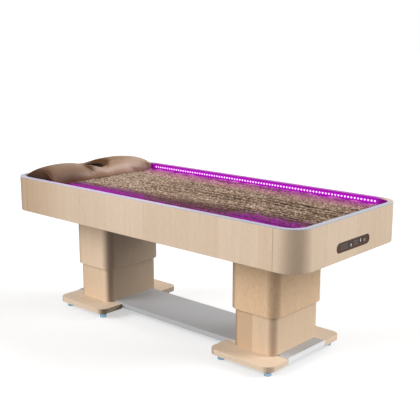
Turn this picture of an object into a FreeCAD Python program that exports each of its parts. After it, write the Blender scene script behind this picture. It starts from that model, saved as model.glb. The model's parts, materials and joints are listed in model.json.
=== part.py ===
import FreeCAD, Part
import math
import os

# A spa relaxation lounger: a heated bed of sand in a veneered tub, lit by light strips under its
# rim, with a head cushion, carried on two lifting columns that stand on a low base.
# Millimetres. +X runs from the head to the foot, +Z up, and the origin is on the floor under the middle.
# Heights are those of the pictured pose, part-way up the lift.

# Tub
TUB_LENGTH = 2150.0
TUB_WIDTH = 930.0
TUB_CORNER_RADIUS = 115.0
RIM_WIDTH = 30.0
TRIM_THICKNESS = 4.0
TRIM_EDGE_RADIUS = 1.2
CASING_THICKNESS = 15.0
CASING_EDGE_RADIUS = 2.5
SEAM_TAIL = 25.0
SEAM_GAP = 0.6
PANEL_FIT = 0.5

# Layers under the sand, from the bottom up
COVER_THICKNESS = 6.0
RAIL_HEIGHT = 30.0
MOUNT_PLATE_THICKNESS = 8.0
INSULATION_THICKNESS = 36.0
HEATING_MAT_THICKNESS = 2.0
BASIN_FLOOR = 10.0
SAND_DEPTH = 81.0
SAND_DROP = 45.0
SAND_FIT = 0.3

# Frame under the basin
RAIL_WIDTH = 40.0
RAIL_WALL = 3.0
RAIL_OFFSET = 260.0
RAIL_END_MARGIN = 100.0
MOUNT_PLATE_MARGIN = 35.0

# Head end: divider, shelf and cushion
CUSHION_LENGTH = 245.0
DIVIDER_THICKNESS = 10.0
DIVIDER_DROP = 1.0
SHELF_THICKNESS = 14.0
BOARD_THICKNESS = 8.0
CLEAT_SIZE = 18.0
CLEAT_CORNER_MARGIN = 28.0
REST_CLEARANCE = 0.3
CUSHION_SIDE_CLEARANCE = 4.0
CUSHION_CREST = 60.0
CUSHION_HEAD_FALL = 34.0
CUSHION_FOOT_LIP = 22.0
CUSHION_FOOT_BULGE = 9.0
CUSHION_HEAD_BULGE = 6.0
CUSHION_HEAD_INSET = 8.0
FACE_HOLE_LENGTH = 116.0
FACE_HOLE_WIDTH = 124.0
FACE_HOLE_FROM_FOOT_EDGE = 92.0
SHELF_HOLE_MARGIN = 6.0

# Lighting
LED_START_GAP = 60.0
LED_CORNER_GAP = 15.0
LED_DROP = 21.0
LED_STRIP_HEIGHT = 12.0
LED_STRIP_THICKNESS = 1.2
LED_CHIP_SIZE = 5.0
LED_CHIP_THICKNESS = 1.6
LED_PITCH = 20.8

# Control panel in the foot end
PANEL_LENGTH = 300.0
PANEL_HEIGHT = 52.0
PANEL_ABOVE_TUB_BOTTOM = 67.0
PANEL_RECESS = 2.5
FASCIA_THICKNESS = 2.5
HOUSING_WALL = 1.6
HOUSING_FIT = 0.3
KEY_WIDTH = 17.0
KEY_HEIGHT = 25.0
KEY_RADIUS = 4.0
KEY_CLEARANCE = 0.3
KEY_PROUD = 0.9
KEY_SHOULDER = 1.5
KEY_SHOULDER_LIP = 1.5
KEY_SHOULDER_GAP = 0.1
KEY_TRAVEL = 0.8
# Where the keys and windows sit along the panel, as shares of its length from its middle
KEY_PLACE_SHARES = (-0.067, 0.223, 0.34)
LENS_PLACE_SHARES = (-0.267, 0.087)
SWITCH_SIZE = 6.0
SWITCH_CLEARANCE = 0.2
CIRCUIT_BOARD_END_MARGIN = 25.0
CIRCUIT_BOARD_HEIGHT = 34.0
CIRCUIT_BOARD_THICKNESS = 1.6
CIRCUIT_BOARD_RADIUS = 2.0
LENS_HEIGHT = 30.0
LENS_THICKNESS = 1.2
LENS_FIT = 0.15
LENS_RADIUS = 5.0
LENS_WIDTHS = (66.0, 44.0)

# Lifting columns
COLUMN_FROM_TUB_END = 445.0
BASE_SHIFT = -11.0
LIFT_DOWN = 120.0
LIFT_UP = 120.0
LOWER_SLEEVE_LENGTH = 273.0
LOWER_SLEEVE_WIDTH = 406.0
LOWER_SLEEVE_RADIUS = 40.0
SLEEVE_WALL = 12.0
SLEEVE_GAP = 5.5
SLEEVE_OVERLAP = 44.0
SLEEVE_HEADROOM = 60.0
SLEEVE_FLOOR_GAP = 91.0
SLEEVE_EDGE_RADIUS = 1.5
OUTER_TUBE_LENGTH = 150.0
OUTER_TUBE_WIDTH = 200.0
TUBE_WALL = 4.0
TUBE_RADIUS = 8.0
GLIDE_GAP = 4.0
GLIDE_CLEARANCE = 0.3
GLIDE_WIDTH = 40.0
GLIDE_HEIGHT = 50.0
OUTER_TUBE_HEADROOM = 52.0
INNER_TUBE_END_GAP = 7.0
FLANGE_THICKNESS = 8.0
FLANGE_MARGIN = 20.0
COVER_HOLE_CLEARANCE = 3.0
BOLT_RADIUS = 4.0
BOLT_CLEARANCE = 0.5
BOLT_HEAD_RADIUS = 7.5
BOLT_HEAD_HEIGHT = 5.0

# Spindle drive inside each column
GEARBOX_LENGTH = 60.0
GEARBOX_WIDTH = 120.0
GEARBOX_HEIGHT = 42.0
MOTOR_RADIUS = 26.0
MOTOR_HEIGHT = 72.0
MOTOR_EDGE_MARGIN = 2.0
SPINDLE_FROM_GEARBOX_END = 32.0
SPINDLE_RADIUS = 9.0
SPINDLE_COLLAR_RADIUS = 14.0
SPINDLE_COLLAR_HEIGHT = 6.0
SPINDLE_RUNNING_GAP = 0.3
SPINDLE_END_MARGIN = 24.0
NUT_RADIUS = 17.0
NUT_LENGTH = 34.0
NUT_START_GAP = 4.0
PUSH_TUBE_WALL = 4.0

# Base
BASE_LENGTH = 411.0
BASE_WIDTH = 646.0
WING_UNDERSIDE = 35.0
WING_THICKNESS = 30.0
WING_RADIUS = 50.0
WING_EDGE_RADIUS = 1.5
WING_GAP = 0.5
EDGE_GROOVE_HEIGHT = 1.6
EDGE_GROOVE_DEPTH = 1.2
SPINE_WIDTH = 328.0
SPINE_HEIGHT = 29.0
SPINE_STEP = 5.0
SPINE_SHEET = 3.0
SPINE_EDGE_RADIUS = 2.0
END_CAP_THICKNESS = 2.0
CROSS_TUBE_WIDTH = 60.0
CROSS_TUBE_HEIGHT = 20.0
CROSS_TUBE_WALL = 2.5
CROSS_TUBE_RISE = 2.0
CROSS_TUBE_END_MARGIN = 18.0
CROSS_TUBE_FIT = 0.3

# Levelling feet
FOOT_FROM_BASE_END = 50.5
FOOT_FROM_BASE_SIDE = 51.0
FOOT_RADIUS = 20.0
FOOT_HEIGHT = 18.0
FOOT_EDGE_RADIUS = 2.0
FOOT_NECK_RADIUS = 13.0
FOOT_STUD_RADIUS = 5.0
FOOT_STUD_REACH = 15.0
FOOT_STOP_GAP = 0.3
NUT_FLANGE_RADIUS = 12.0
NUT_FLANGE_THICKNESS = 2.0
NUT_COLLAR_RADIUS = 8.0
NUT_COLLAR_HEIGHT = 10.0
THREAD_CLEARANCE = 0.1

# Mains inlet in the head end of the spine
INLET_FLANGE_WIDTH = 48.0
INLET_FLANGE_HEIGHT = 24.0
INLET_FLANGE_THICKNESS = 2.5
INLET_FLANGE_RADIUS = 3.0
INLET_BODY_WIDTH = 30.0
INLET_BODY_HEIGHT = 20.0
INLET_BACK_CLEARANCE = 1.5
INLET_SOCKET_WIDTH = 25.0
INLET_SOCKET_HEIGHT = 16.0
INLET_SOCKET_FLOOR = 3.5
INLET_SOCKET_RADIUS = 4.0
INLET_PIN_WIDTH = 2.0
INLET_PIN_HEIGHT = 4.0
INLET_PIN_LENGTH = 13.0
INLET_PIN_SPACING = 7.0
INLET_FIT = 0.3

# Control unit in the bay under the shelf
UNIT_LENGTH = 130.0
UNIT_WIDTH = 210.0
UNIT_HEIGHT = 36.0
UNIT_RADIUS = 6.0
UNIT_HEADROOM = 16.0
UNIT_FROM_WALL = 100.0

# One overrun for every cut
OVERRUN = 5.0

# Base and column heights worked out from the sizes above
WING_TOP = WING_UNDERSIDE + WING_THICKNESS
SPINE_TOP = WING_TOP + SPINE_STEP
SPINE_BOTTOM = SPINE_TOP - SPINE_HEIGHT
CROSS_TUBE_BOTTOM = WING_UNDERSIDE + CROSS_TUBE_RISE
CROSS_TUBE_TOP = CROSS_TUBE_BOTTOM + CROSS_TUBE_HEIGHT
COLUMN_FOOT = SPINE_TOP + FLANGE_THICKNESS
UPPER_SLEEVE_BOTTOM = WING_TOP + SLEEVE_FLOOR_GAP + LIFT_DOWN
LOWER_SLEEVE_TOP = UPPER_SLEEVE_BOTTOM + LIFT_UP + SLEEVE_OVERLAP

# Tub heights worked out from the sizes above
TUB_BOTTOM = LOWER_SLEEVE_TOP + SLEEVE_HEADROOM + LIFT_DOWN
COVER_TOP = TUB_BOTTOM + COVER_THICKNESS
RAIL_TOP = COVER_TOP + RAIL_HEIGHT
MOUNT_PLATE_BOTTOM = RAIL_TOP - MOUNT_PLATE_THICKNESS
INSULATION_TOP = RAIL_TOP + INSULATION_THICKNESS
BASIN_BOTTOM = INSULATION_TOP + HEATING_MAT_THICKNESS
BASIN_FLOOR_TOP = BASIN_BOTTOM + BASIN_FLOOR
SAND_TOP = BASIN_FLOOR_TOP + SAND_DEPTH
RIM_TOP = SAND_TOP + SAND_DROP
TRIM_BOTTOM = RIM_TOP - TRIM_THICKNESS
SHELF_BOTTOM = BASIN_FLOOR_TOP + UNIT_HEIGHT + UNIT_HEADROOM
SHELF_TOP = SHELF_BOTTOM + SHELF_THICKNESS
CUSHION_BOTTOM = SHELF_TOP + REST_CLEARANCE + BOARD_THICKNESS
CUSHION_TOP = RIM_TOP + CUSHION_CREST
PANEL_HEIGHT_CENTRE = TUB_BOTTOM + PANEL_ABOVE_TUB_BOTTOM

# Heights of the telescopic tubes and the spindle drive
OUTER_TUBE_TOP = TUB_BOTTOM - LIFT_DOWN - OUTER_TUBE_HEADROOM
INNER_TUBE_TOP = MOUNT_PLATE_BOTTOM - FLANGE_THICKNESS
INNER_TUBE_BOTTOM = COLUMN_FOOT + INNER_TUBE_END_GAP + LIFT_DOWN
GEARBOX_TOP = COLUMN_FOOT + GEARBOX_HEIGHT
SPINDLE_BOTTOM = GEARBOX_TOP + SPINDLE_RUNNING_GAP
NUT_BOTTOM = SPINDLE_BOTTOM + SPINDLE_COLLAR_HEIGHT + NUT_START_GAP + LIFT_DOWN
SPINDLE_TOP = NUT_BOTTOM + NUT_LENGTH + LIFT_UP + SPINDLE_END_MARGIN

# Plan places worked out from the sizes above
HALF_LENGTH = TUB_LENGTH / 2
HALF_WIDTH = TUB_WIDTH / 2
BASIN_HALF_LENGTH = HALF_LENGTH - RIM_WIDTH
BASIN_HALF_WIDTH = HALF_WIDTH - RIM_WIDTH
BASIN_CORNER_RADIUS = TUB_CORNER_RADIUS - RIM_WIDTH
SEAM_X = HALF_LENGTH - TUB_CORNER_RADIUS - SEAM_TAIL
DIVIDER_X = CUSHION_LENGTH - BASIN_HALF_LENGTH
FACE_HOLE_X = DIVIDER_X - FACE_HOLE_FROM_FOOT_EDGE
COLUMN_REACH = HALF_LENGTH - COLUMN_FROM_TUB_END
COLUMNS = (("head", BASE_SHIFT - COLUMN_REACH), ("foot", BASE_SHIFT + COLUMN_REACH))
SPINE_HEAD_END = BASE_SHIFT - COLUMN_REACH - BASE_LENGTH / 2
SPINE_FOOT_END = BASE_SHIFT + COLUMN_REACH + BASE_LENGTH / 2
FOOT_PLACE_X = BASE_LENGTH / 2 - FOOT_FROM_BASE_END
FOOT_PLACE_Y = BASE_WIDTH / 2 - FOOT_FROM_BASE_SIDE
INNER_TUBE_LENGTH = OUTER_TUBE_LENGTH - 2 * (TUBE_WALL + GLIDE_GAP)
INNER_TUBE_WIDTH = OUTER_TUBE_WIDTH - 2 * (TUBE_WALL + GLIDE_GAP)
FLANGE_LENGTH = OUTER_TUBE_LENGTH + 2 * FLANGE_MARGIN
FLANGE_WIDTH = OUTER_TUBE_WIDTH + 2 * FLANGE_MARGIN
UPPER_SLEEVE_LENGTH = LOWER_SLEEVE_LENGTH + 2 * (SLEEVE_GAP + SLEEVE_WALL)
UPPER_SLEEVE_WIDTH = LOWER_SLEEVE_WIDTH + 2 * (SLEEVE_GAP + SLEEVE_WALL)
UPPER_SLEEVE_RADIUS = LOWER_SLEEVE_RADIUS + SLEEVE_GAP + SLEEVE_WALL
MOTOR_Y = GEARBOX_WIDTH / 2 - MOTOR_RADIUS - MOTOR_EDGE_MARGIN
SPINDLE_Y = SPINDLE_FROM_GEARBOX_END - GEARBOX_WIDTH / 2
INLET_BODY_DEPTH = FOOT_FROM_BASE_END - CROSS_TUBE_WIDTH / 2 - INLET_BACK_CLEARANCE
INLET_SOCKET_DEPTH = INLET_FLANGE_THICKNESS + INLET_BODY_DEPTH - INLET_SOCKET_FLOOR

# The cushion's crest over its half width: share of the half width, share of the full crown
CUSHION_CREST_SHARES = (
    (0.0, 0.72),
    (0.16, 0.76),
    (0.34, 0.92),
    (0.56, 1.0),
    (0.78, 0.96),
    (0.92, 0.86),
    (0.985, 0.72),
    (1.0, 0.6),
)
# Where the crest lies between the foot edge and the head edge of the cushion
CREST_PLACE_SHARE = 0.52

Vector = FreeCAD.Vector
UP = Vector(0, 0, 1)
QUARTER = 90
# How near an edge has to be to a height to count as lying in it, and the sliver a full round end leaves
FACE_TOLERANCE = 0.001


def outline(length, width, radius, x=0.0, y=0.0, z=0.0):
    """A closed wire: a rectangle with round corners, centred on x, y at height z."""
    reach_x, reach_y = length / 2 - radius, width / 2 - radius
    corners = [
        (x + side_x * reach_x, y + side_y * reach_y, QUARTER * index)
        for index, (side_x, side_y) in enumerate(((1, 1), (-1, 1), (-1, -1), (1, -1)))
    ]

    def on_corner(corner, turn):
        angle = math.radians(corner[2] + turn)
        return Vector(corner[0] + radius * math.cos(angle), corner[1] + radius * math.sin(angle), z)

    edges = []
    for corner, following in zip(corners, corners[1:] + corners[:1]):
        arc = Part.Arc(on_corner(corner, 0), on_corner(corner, QUARTER / 2), on_corner(corner, QUARTER))
        edges.append(arc.toShape())
        edges.append(Part.makeLine(on_corner(corner, QUARTER), on_corner(following, 0)))
    return Part.Wire(edges)


def slab(length, width, radius, bottom, top, x=0.0, y=0.0):
    """A plate with round corners, from height bottom to height top."""
    return Part.Face(outline(length, width, radius, x, y, bottom)).extrude(UP * (top - bottom))


def edges_at(solid, height):
    """The edges of a solid that lie in one height."""
    flat = []
    for edge in solid.Edges:
        off = max(abs(edge.BoundBox.ZMin - height), abs(edge.BoundBox.ZMax - height))
        if off < FACE_TOLERANCE:
            flat.append(edge)
    return flat


def ring(length, width, radius, wall, bottom, top, x=0.0, eased=None, ease=0.0):
    """A tube of rounded rectangular section, standing upright, its outer edge eased at one height."""
    outer = slab(length, width, radius, bottom, top, x)
    if eased is not None:
        outer = outer.makeFillet(ease, edges_at(outer, eased))
    inner = slab(length - 2 * wall, width - 2 * wall, radius - wall, bottom - OVERRUN, top + OVERRUN, x)
    return outer.cut(inner)


def block(x0, x1, y0, y1, z0, z1):
    """A box between two corners."""
    return Part.makeBox(x1 - x0, y1 - y0, z1 - z0, Vector(x0, y0, z0))


def rod(radius, bottom, top, x, y):
    """An upright cylinder."""
    return Part.makeCylinder(radius, top - bottom, Vector(x, y, bottom), UP)


def end_plate(width, height, radius, back, front, y, z):
    """A plate with round corners that faces along X, from x = back to x = front."""
    plate = slab(height, width, radius, 0, front - back)
    plate.rotate(Vector(0, 0, 0), Vector(0, 1, 0), 90)
    plate.translate(Vector(back, y, z))
    return plate


def hex_bar(radius, bottom, top, x, y):
    """An upright hexagonal bar, radius to its corners."""
    corners = []
    for side in range(7):
        angle = math.radians(60 * side)
        corners.append(Vector(x + radius * math.cos(angle), y + radius * math.sin(angle), bottom))
    return Part.Face(Part.makePolygon(corners)).extrude(UP * (top - bottom))


def join(solids):
    """One solid from overlapping or touching ones."""
    return solids[0].multiFuse(solids[1:]).removeSplitter()


def save(name, *solids):
    """Writes one node, holding one or more separate solids."""
    shape = solids[0] if len(solids) == 1 else Part.makeCompound(list(solids))
    shape.exportStep(os.path.join("parts", name + ".step"))


def panel_outline(grow, back, front):
    """The control panel's long rounded shape, grown on every side, between two x places."""
    height = PANEL_HEIGHT + 2 * grow
    # A hair under the half height keeps a straight edge at each end of the outline
    radius = height / 2 - FACE_TOLERANCE
    return end_plate(PANEL_LENGTH + 2 * grow, height, radius, back, front, 0.0, PANEL_HEIGHT_CENTRE)


def casing():
    """The four veneered panels round the tub: two straight sides and two ends with bent corners."""
    shell = ring(
        TUB_LENGTH,
        TUB_WIDTH,
        TUB_CORNER_RADIUS,
        CASING_THICKNESS,
        TUB_BOTTOM,
        TRIM_BOTTOM,
        eased=TUB_BOTTOM,
        ease=CASING_EDGE_RADIUS,
    )
    far, low, high = HALF_WIDTH + OVERRUN, TUB_BOTTOM - OVERRUN, RIM_TOP + OVERRUN
    side_end = SEAM_X - SEAM_GAP
    save("side_panel_near", shell.common(block(-side_end, side_end, -far, 0, low, high)))
    save("side_panel_far", shell.common(block(-side_end, side_end, 0, far, low, high)))
    save("end_panel_head", shell.common(block(-HALF_LENGTH - OVERRUN, -SEAM_X, -far, far, low, high)))
    foot_end = shell.common(block(SEAM_X, HALF_LENGTH + OVERRUN, -far, far, low, high))
    opening = panel_outline(0.0, HALF_LENGTH - CASING_THICKNESS - OVERRUN, HALF_LENGTH + OVERRUN)
    save("end_panel_foot", foot_end.cut(opening))


def rim_trim():
    """The pale trim that caps the casing and the basin wall all the way round."""
    trim = ring(
        TUB_LENGTH,
        TUB_WIDTH,
        TUB_CORNER_RADIUS,
        RIM_WIDTH,
        TRIM_BOTTOM,
        RIM_TOP,
        eased=RIM_TOP,
        ease=TRIM_EDGE_RADIUS,
    )
    save("rim_trim", trim)


def basin():
    """The moulded basin that holds the sand."""
    body = inside_casing(BASIN_BOTTOM, TRIM_BOTTOM)
    save("basin", body.cut(inside_basin(0.0, BASIN_FLOOR_TOP, RIM_TOP + OVERRUN)))


def inside_casing(bottom, top):
    """A plate that fills the casing, less its fit."""
    inset = CASING_THICKNESS + PANEL_FIT
    return slab(TUB_LENGTH - 2 * inset, TUB_WIDTH - 2 * inset, TUB_CORNER_RADIUS - inset, bottom, top)


def inside_basin(clearance, bottom, top):
    """The basin's inner shape, drawn in by a clearance."""
    return slab(
        2 * (BASIN_HALF_LENGTH - clearance),
        2 * (BASIN_HALF_WIDTH - clearance),
        BASIN_CORNER_RADIUS - clearance,
        bottom,
        top,
    )


def sand_bed():
    """The bed of sand, from the divider to the foot end."""
    start = DIVIDER_X + DIVIDER_THICKNESS
    keep = block(start, HALF_LENGTH, -HALF_WIDTH, HALF_WIDTH, BASIN_FLOOR_TOP, SAND_TOP)
    save("sand_bed", inside_basin(SAND_FIT, BASIN_FLOOR_TOP, SAND_TOP).common(keep))


def head_bay():
    """The divider that holds the sand back and the shelf that carries the cushion."""
    reach = BASIN_HALF_WIDTH - SAND_FIT
    divider_top = SAND_TOP - DIVIDER_DROP
    save(
        "sand_divider",
        block(DIVIDER_X, DIVIDER_X + DIVIDER_THICKNESS, -reach, reach, BASIN_FLOOR_TOP, divider_top),
    )
    shelf = inside_basin(SAND_FIT, SHELF_BOTTOM, SHELF_TOP)
    keep = block(-HALF_LENGTH, DIVIDER_X - SAND_FIT, -HALF_WIDTH, HALF_WIDTH, SHELF_BOTTOM, SHELF_TOP)
    hole = face_hole(SHELF_HOLE_MARGIN, SHELF_BOTTOM - OVERRUN, SHELF_TOP + OVERRUN)
    save("cushion_shelf", shelf.common(keep).cut(hole))
    cleat_bottom = SHELF_BOTTOM - CLEAT_SIZE
    wall, head = BASIN_HALF_WIDTH, -BASIN_HALF_LENGTH
    corner = BASIN_CORNER_RADIUS + CLEAT_CORNER_MARGIN
    side_start, side_end = head + corner, DIVIDER_X - SAND_FIT
    half = wall - corner
    save(
        "shelf_cleats",
        block(side_start, side_end, -wall, CLEAT_SIZE - wall, cleat_bottom, SHELF_BOTTOM),
        block(side_start, side_end, wall - CLEAT_SIZE, wall, cleat_bottom, SHELF_BOTTOM),
        block(head, head + CLEAT_SIZE, -half, half, cleat_bottom, SHELF_BOTTOM),
    )


def face_hole(grow, bottom, top):
    """The oval breathing hole, as a solid to cut with, grown on every side."""
    centre = Vector(FACE_HOLE_X, 0, bottom)
    reaches = [Vector(FACE_HOLE_LENGTH / 2 + grow, 0, 0), Vector(0, FACE_HOLE_WIDTH / 2 + grow, 0)]
    longer, shorter = sorted(reaches, key=lambda reach: reach.Length, reverse=True)
    ellipse = Part.Ellipse(centre + longer, centre + shorter, centre)
    return Part.Face(Part.Wire([ellipse.toShape()])).extrude(UP * (top - bottom))


def cushion_section(y, crown):
    """The cushion's outline across its length at one place along its width."""
    head_x = CUSHION_SIDE_CLEARANCE - BASIN_HALF_LENGTH
    foot_x = DIVIDER_X - CUSHION_SIDE_CLEARANCE
    shoulder_x = head_x + CUSHION_HEAD_INSET
    crest_z = CUSHION_BOTTOM + crown * (CUSHION_TOP - CUSHION_BOTTOM)
    foot_low = Vector(foot_x, y, CUSHION_BOTTOM)
    foot_high = Vector(foot_x + CUSHION_FOOT_BULGE, y, CUSHION_BOTTOM + CUSHION_FOOT_LIP)
    foot_mid = Vector(foot_x + CUSHION_FOOT_BULGE / 4, y, CUSHION_BOTTOM + CUSHION_FOOT_LIP / 2)
    crest = Vector(foot_x + (shoulder_x - foot_x) * CREST_PLACE_SHARE, y, crest_z)
    head_high = Vector(shoulder_x, y, crest_z - CUSHION_HEAD_FALL * crown)
    head_low = Vector(shoulder_x, y, CUSHION_BOTTOM)
    head_mid = Vector(shoulder_x - CUSHION_HEAD_BULGE, y, (head_high.z + head_low.z) / 2)
    return Part.Wire(
        [
            Part.makeLine(head_low, foot_low),
            Part.Arc(foot_low, foot_mid, foot_high).toShape(),
            Part.Arc(foot_high, crest, head_high).toShape(),
            Part.Arc(head_high, head_mid, head_low).toShape(),
        ]
    )


def cushion():
    """The head cushion, with a lobe on each side of its face hole, and the board it is upholstered on."""
    half = BASIN_HALF_WIDTH - CUSHION_SIDE_CLEARANCE
    right = [(share * half, crown) for share, crown in CUSHION_CREST_SHARES]
    stations = [(-y, crown) for y, crown in reversed(right[1:])] + right
    pad = Part.makeLoft([cushion_section(y, crown) for y, crown in stations], True, False)
    board_bottom = SHELF_TOP + REST_CLEARANCE
    plan = inside_basin(CUSHION_SIDE_CLEARANCE, board_bottom, CUSHION_TOP + OVERRUN)
    pad = pad.common(plan)
    hole = face_hole(0.0, board_bottom - OVERRUN, CUSHION_TOP + OVERRUN)
    save("head_cushion", pad.cut(hole))
    foot_x = DIVIDER_X - CUSHION_SIDE_CLEARANCE
    keep = block(-HALF_LENGTH, foot_x, -HALF_WIDTH, HALF_WIDTH, board_bottom, CUSHION_BOTTOM)
    save("cushion_board", plan.common(keep).cut(hole))


def lights():
    """A light strip along each long wall of the basin, with its row of chips."""
    start = DIVIDER_X + LED_START_GAP
    end = HALF_LENGTH - TUB_CORNER_RADIUS - LED_CORNER_GAP
    centre = RIM_TOP - LED_DROP
    count = int((end - start) // LED_PITCH)
    first = (start + end - (count - 1) * LED_PITCH) / 2
    strips, chips = [], []
    for side in (-1, 1):
        wall = side * BASIN_HALF_WIDTH
        face = wall - side * LED_STRIP_THICKNESS
        front = face - side * LED_CHIP_THICKNESS
        strip_low, strip_high = centre - LED_STRIP_HEIGHT / 2, centre + LED_STRIP_HEIGHT / 2
        strips.append(block(start, end, min(wall, face), max(wall, face), strip_low, strip_high))
        half = LED_CHIP_SIZE / 2
        for index in range(count):
            x = first + index * LED_PITCH
            chips.append(
                block(x - half, x + half, min(face, front), max(face, front), centre - half, centre + half)
            )
    save("led_strips", *strips)
    save("led_chips", *chips)


def underfloor():
    """Bottom cover, rails, mounting plates, insulation and heating mat, from the bottom up."""
    cover = inside_casing(TUB_BOTTOM, COVER_TOP)
    for _, x in COLUMNS:
        cover = cover.cut(
            slab(
                INNER_TUBE_LENGTH + 2 * COVER_HOLE_CLEARANCE,
                INNER_TUBE_WIDTH + 2 * COVER_HOLE_CLEARANCE,
                TUBE_RADIUS,
                TUB_BOTTOM - OVERRUN,
                COVER_TOP + OVERRUN,
                x,
            )
        )
    save("bottom_cover", cover)
    rail_end = HALF_LENGTH - RAIL_END_MARGIN
    rails = []
    for side in (-1, 1):
        y = side * RAIL_OFFSET
        half = RAIL_WIDTH / 2
        hollow = half - RAIL_WALL
        rail = block(-rail_end, rail_end, y - half, y + half, COVER_TOP, RAIL_TOP)
        rails.append(
            rail.cut(
                block(
                    -rail_end - OVERRUN,
                    rail_end + OVERRUN,
                    y - hollow,
                    y + hollow,
                    COVER_TOP + RAIL_WALL,
                    RAIL_TOP - RAIL_WALL,
                )
            )
        )
    save("frame_rails", *rails)
    reach = RAIL_OFFSET - RAIL_WIDTH / 2
    plates = []
    for _, x in COLUMNS:
        half = FLANGE_LENGTH / 2 + MOUNT_PLATE_MARGIN
        plate = block(x - half, x + half, -reach, reach, MOUNT_PLATE_BOTTOM, RAIL_TOP)
        plates.append(drilled(plate, x, MOUNT_PLATE_BOTTOM, RAIL_TOP))
    save("mount_plates", *plates)
    save("insulation_board", inside_casing(RAIL_TOP, INSULATION_TOP))
    save("heating_mat", inside_casing(INSULATION_TOP, BASIN_BOTTOM))


def control_panel():
    """The recessed panel in the foot end: housing, dark fascia, display windows and keys."""
    fascia_front = HALF_LENGTH - PANEL_RECESS
    fascia_back = fascia_front - FASCIA_THICKNESS
    housing_back = HALF_LENGTH - CASING_THICKNESS
    housing = panel_outline(-HOUSING_FIT, housing_back, fascia_back)
    inner = panel_outline(-HOUSING_FIT - HOUSING_WALL, housing_back + HOUSING_WALL, fascia_back + OVERRUN)
    save("control_housing", housing.cut(inner))
    fascia = panel_outline(-HOUSING_FIT, fascia_back, fascia_front)
    z = PANEL_HEIGHT_CENTRE
    lenses = []
    for share, width in zip(LENS_PLACE_SHARES, LENS_WIDTHS):
        y = share * PANEL_LENGTH
        pocket_back = fascia_front - LENS_THICKNESS
        fascia = fascia.cut(
            end_plate(width, LENS_HEIGHT, LENS_RADIUS, pocket_back, fascia_front + OVERRUN, y, z)
        )
        fit = 2 * LENS_FIT
        lens_radius = LENS_RADIUS - LENS_FIT
        lenses.append(
            end_plate(width - fit, LENS_HEIGHT - fit, lens_radius, pocket_back, fascia_front, y, z)
        )
    for number, share in enumerate(KEY_PLACE_SHARES, 1):
        y = share * PANEL_LENGTH
        gap = 2 * KEY_CLEARANCE
        fascia = fascia.cut(
            end_plate(
                KEY_WIDTH + gap,
                KEY_HEIGHT + gap,
                KEY_RADIUS + KEY_CLEARANCE,
                fascia_back - OVERRUN,
                fascia_front + OVERRUN,
                y,
                z,
            )
        )
        shoulder_front = fascia_back - KEY_SHOULDER_GAP
        shoulder_back = shoulder_front - KEY_SHOULDER
        lip = 2 * KEY_SHOULDER_LIP
        cap = end_plate(KEY_WIDTH, KEY_HEIGHT, KEY_RADIUS, shoulder_back, fascia_front + KEY_PROUD, y, z)
        shoulder = end_plate(
            KEY_WIDTH + lip,
            KEY_HEIGHT + lip,
            KEY_RADIUS + KEY_SHOULDER_LIP,
            shoulder_back,
            shoulder_front,
            y,
            z,
        )
        save("key_%d" % number, join([cap, shoulder]))
    save("control_fascia", fascia)
    save("display_windows", *lenses)
    save("circuit_board", circuit_board(fascia_back, housing_back + HOUSING_WALL))


def circuit_board(fascia_back, housing_floor):
    """The board behind the fascia, flat on the housing's floor, with a switch behind each key."""
    front = housing_floor + CIRCUIT_BOARD_THICKNESS
    switch_front = fascia_back - KEY_SHOULDER_GAP - KEY_SHOULDER - KEY_TRAVEL - SWITCH_CLEARANCE
    board = end_plate(
        PANEL_LENGTH - 2 * CIRCUIT_BOARD_END_MARGIN,
        CIRCUIT_BOARD_HEIGHT,
        CIRCUIT_BOARD_RADIUS,
        housing_floor,
        front,
        0.0,
        PANEL_HEIGHT_CENTRE,
    )
    half = SWITCH_SIZE / 2
    low, high = PANEL_HEIGHT_CENTRE - half, PANEL_HEIGHT_CENTRE + half
    places = [share * PANEL_LENGTH for share in KEY_PLACE_SHARES]
    switches = [block(front, switch_front, y - half, y + half, low, high) for y in places]
    return join([board] + switches)


def bolt_places(x):
    """The four bolts of a column flange."""
    offset_x = OUTER_TUBE_LENGTH / 2 + FLANGE_MARGIN / 2
    offset_y = OUTER_TUBE_WIDTH / 2 + FLANGE_MARGIN / 2
    return [(x + a * offset_x, b * offset_y) for a in (-1, 1) for b in (-1, 1)]


def drilled(plate, x, bottom, top):
    """A plate with the four bolt holes of a column flange."""
    for bolt_x, bolt_y in bolt_places(x):
        plate = plate.cut(rod(BOLT_RADIUS + BOLT_CLEARANCE, bottom - OVERRUN, top + OVERRUN, bolt_x, bolt_y))
    return plate


def flange(x, bottom, top):
    """A column's end plate with its four bolt holes."""
    return drilled(slab(FLANGE_LENGTH, FLANGE_WIDTH, TUBE_RADIUS, bottom, top, x), x, bottom, top)


def column(name, x):
    """One telescopic column with its veneered sleeves."""
    outer = ring(OUTER_TUBE_LENGTH, OUTER_TUBE_WIDTH, TUBE_RADIUS, TUBE_WALL, COLUMN_FOOT, OUTER_TUBE_TOP, x)
    save("column_outer_" + name, join([outer, flange(x, SPINE_TOP, COLUMN_FOOT)]))
    inner = ring(
        INNER_TUBE_LENGTH, INNER_TUBE_WIDTH, TUBE_RADIUS, TUBE_WALL, INNER_TUBE_BOTTOM, INNER_TUBE_TOP, x
    )
    save("column_inner_" + name, join([inner, flange(x, INNER_TUBE_TOP, MOUNT_PLATE_BOTTOM)]))
    sleeves(name, x)


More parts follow.
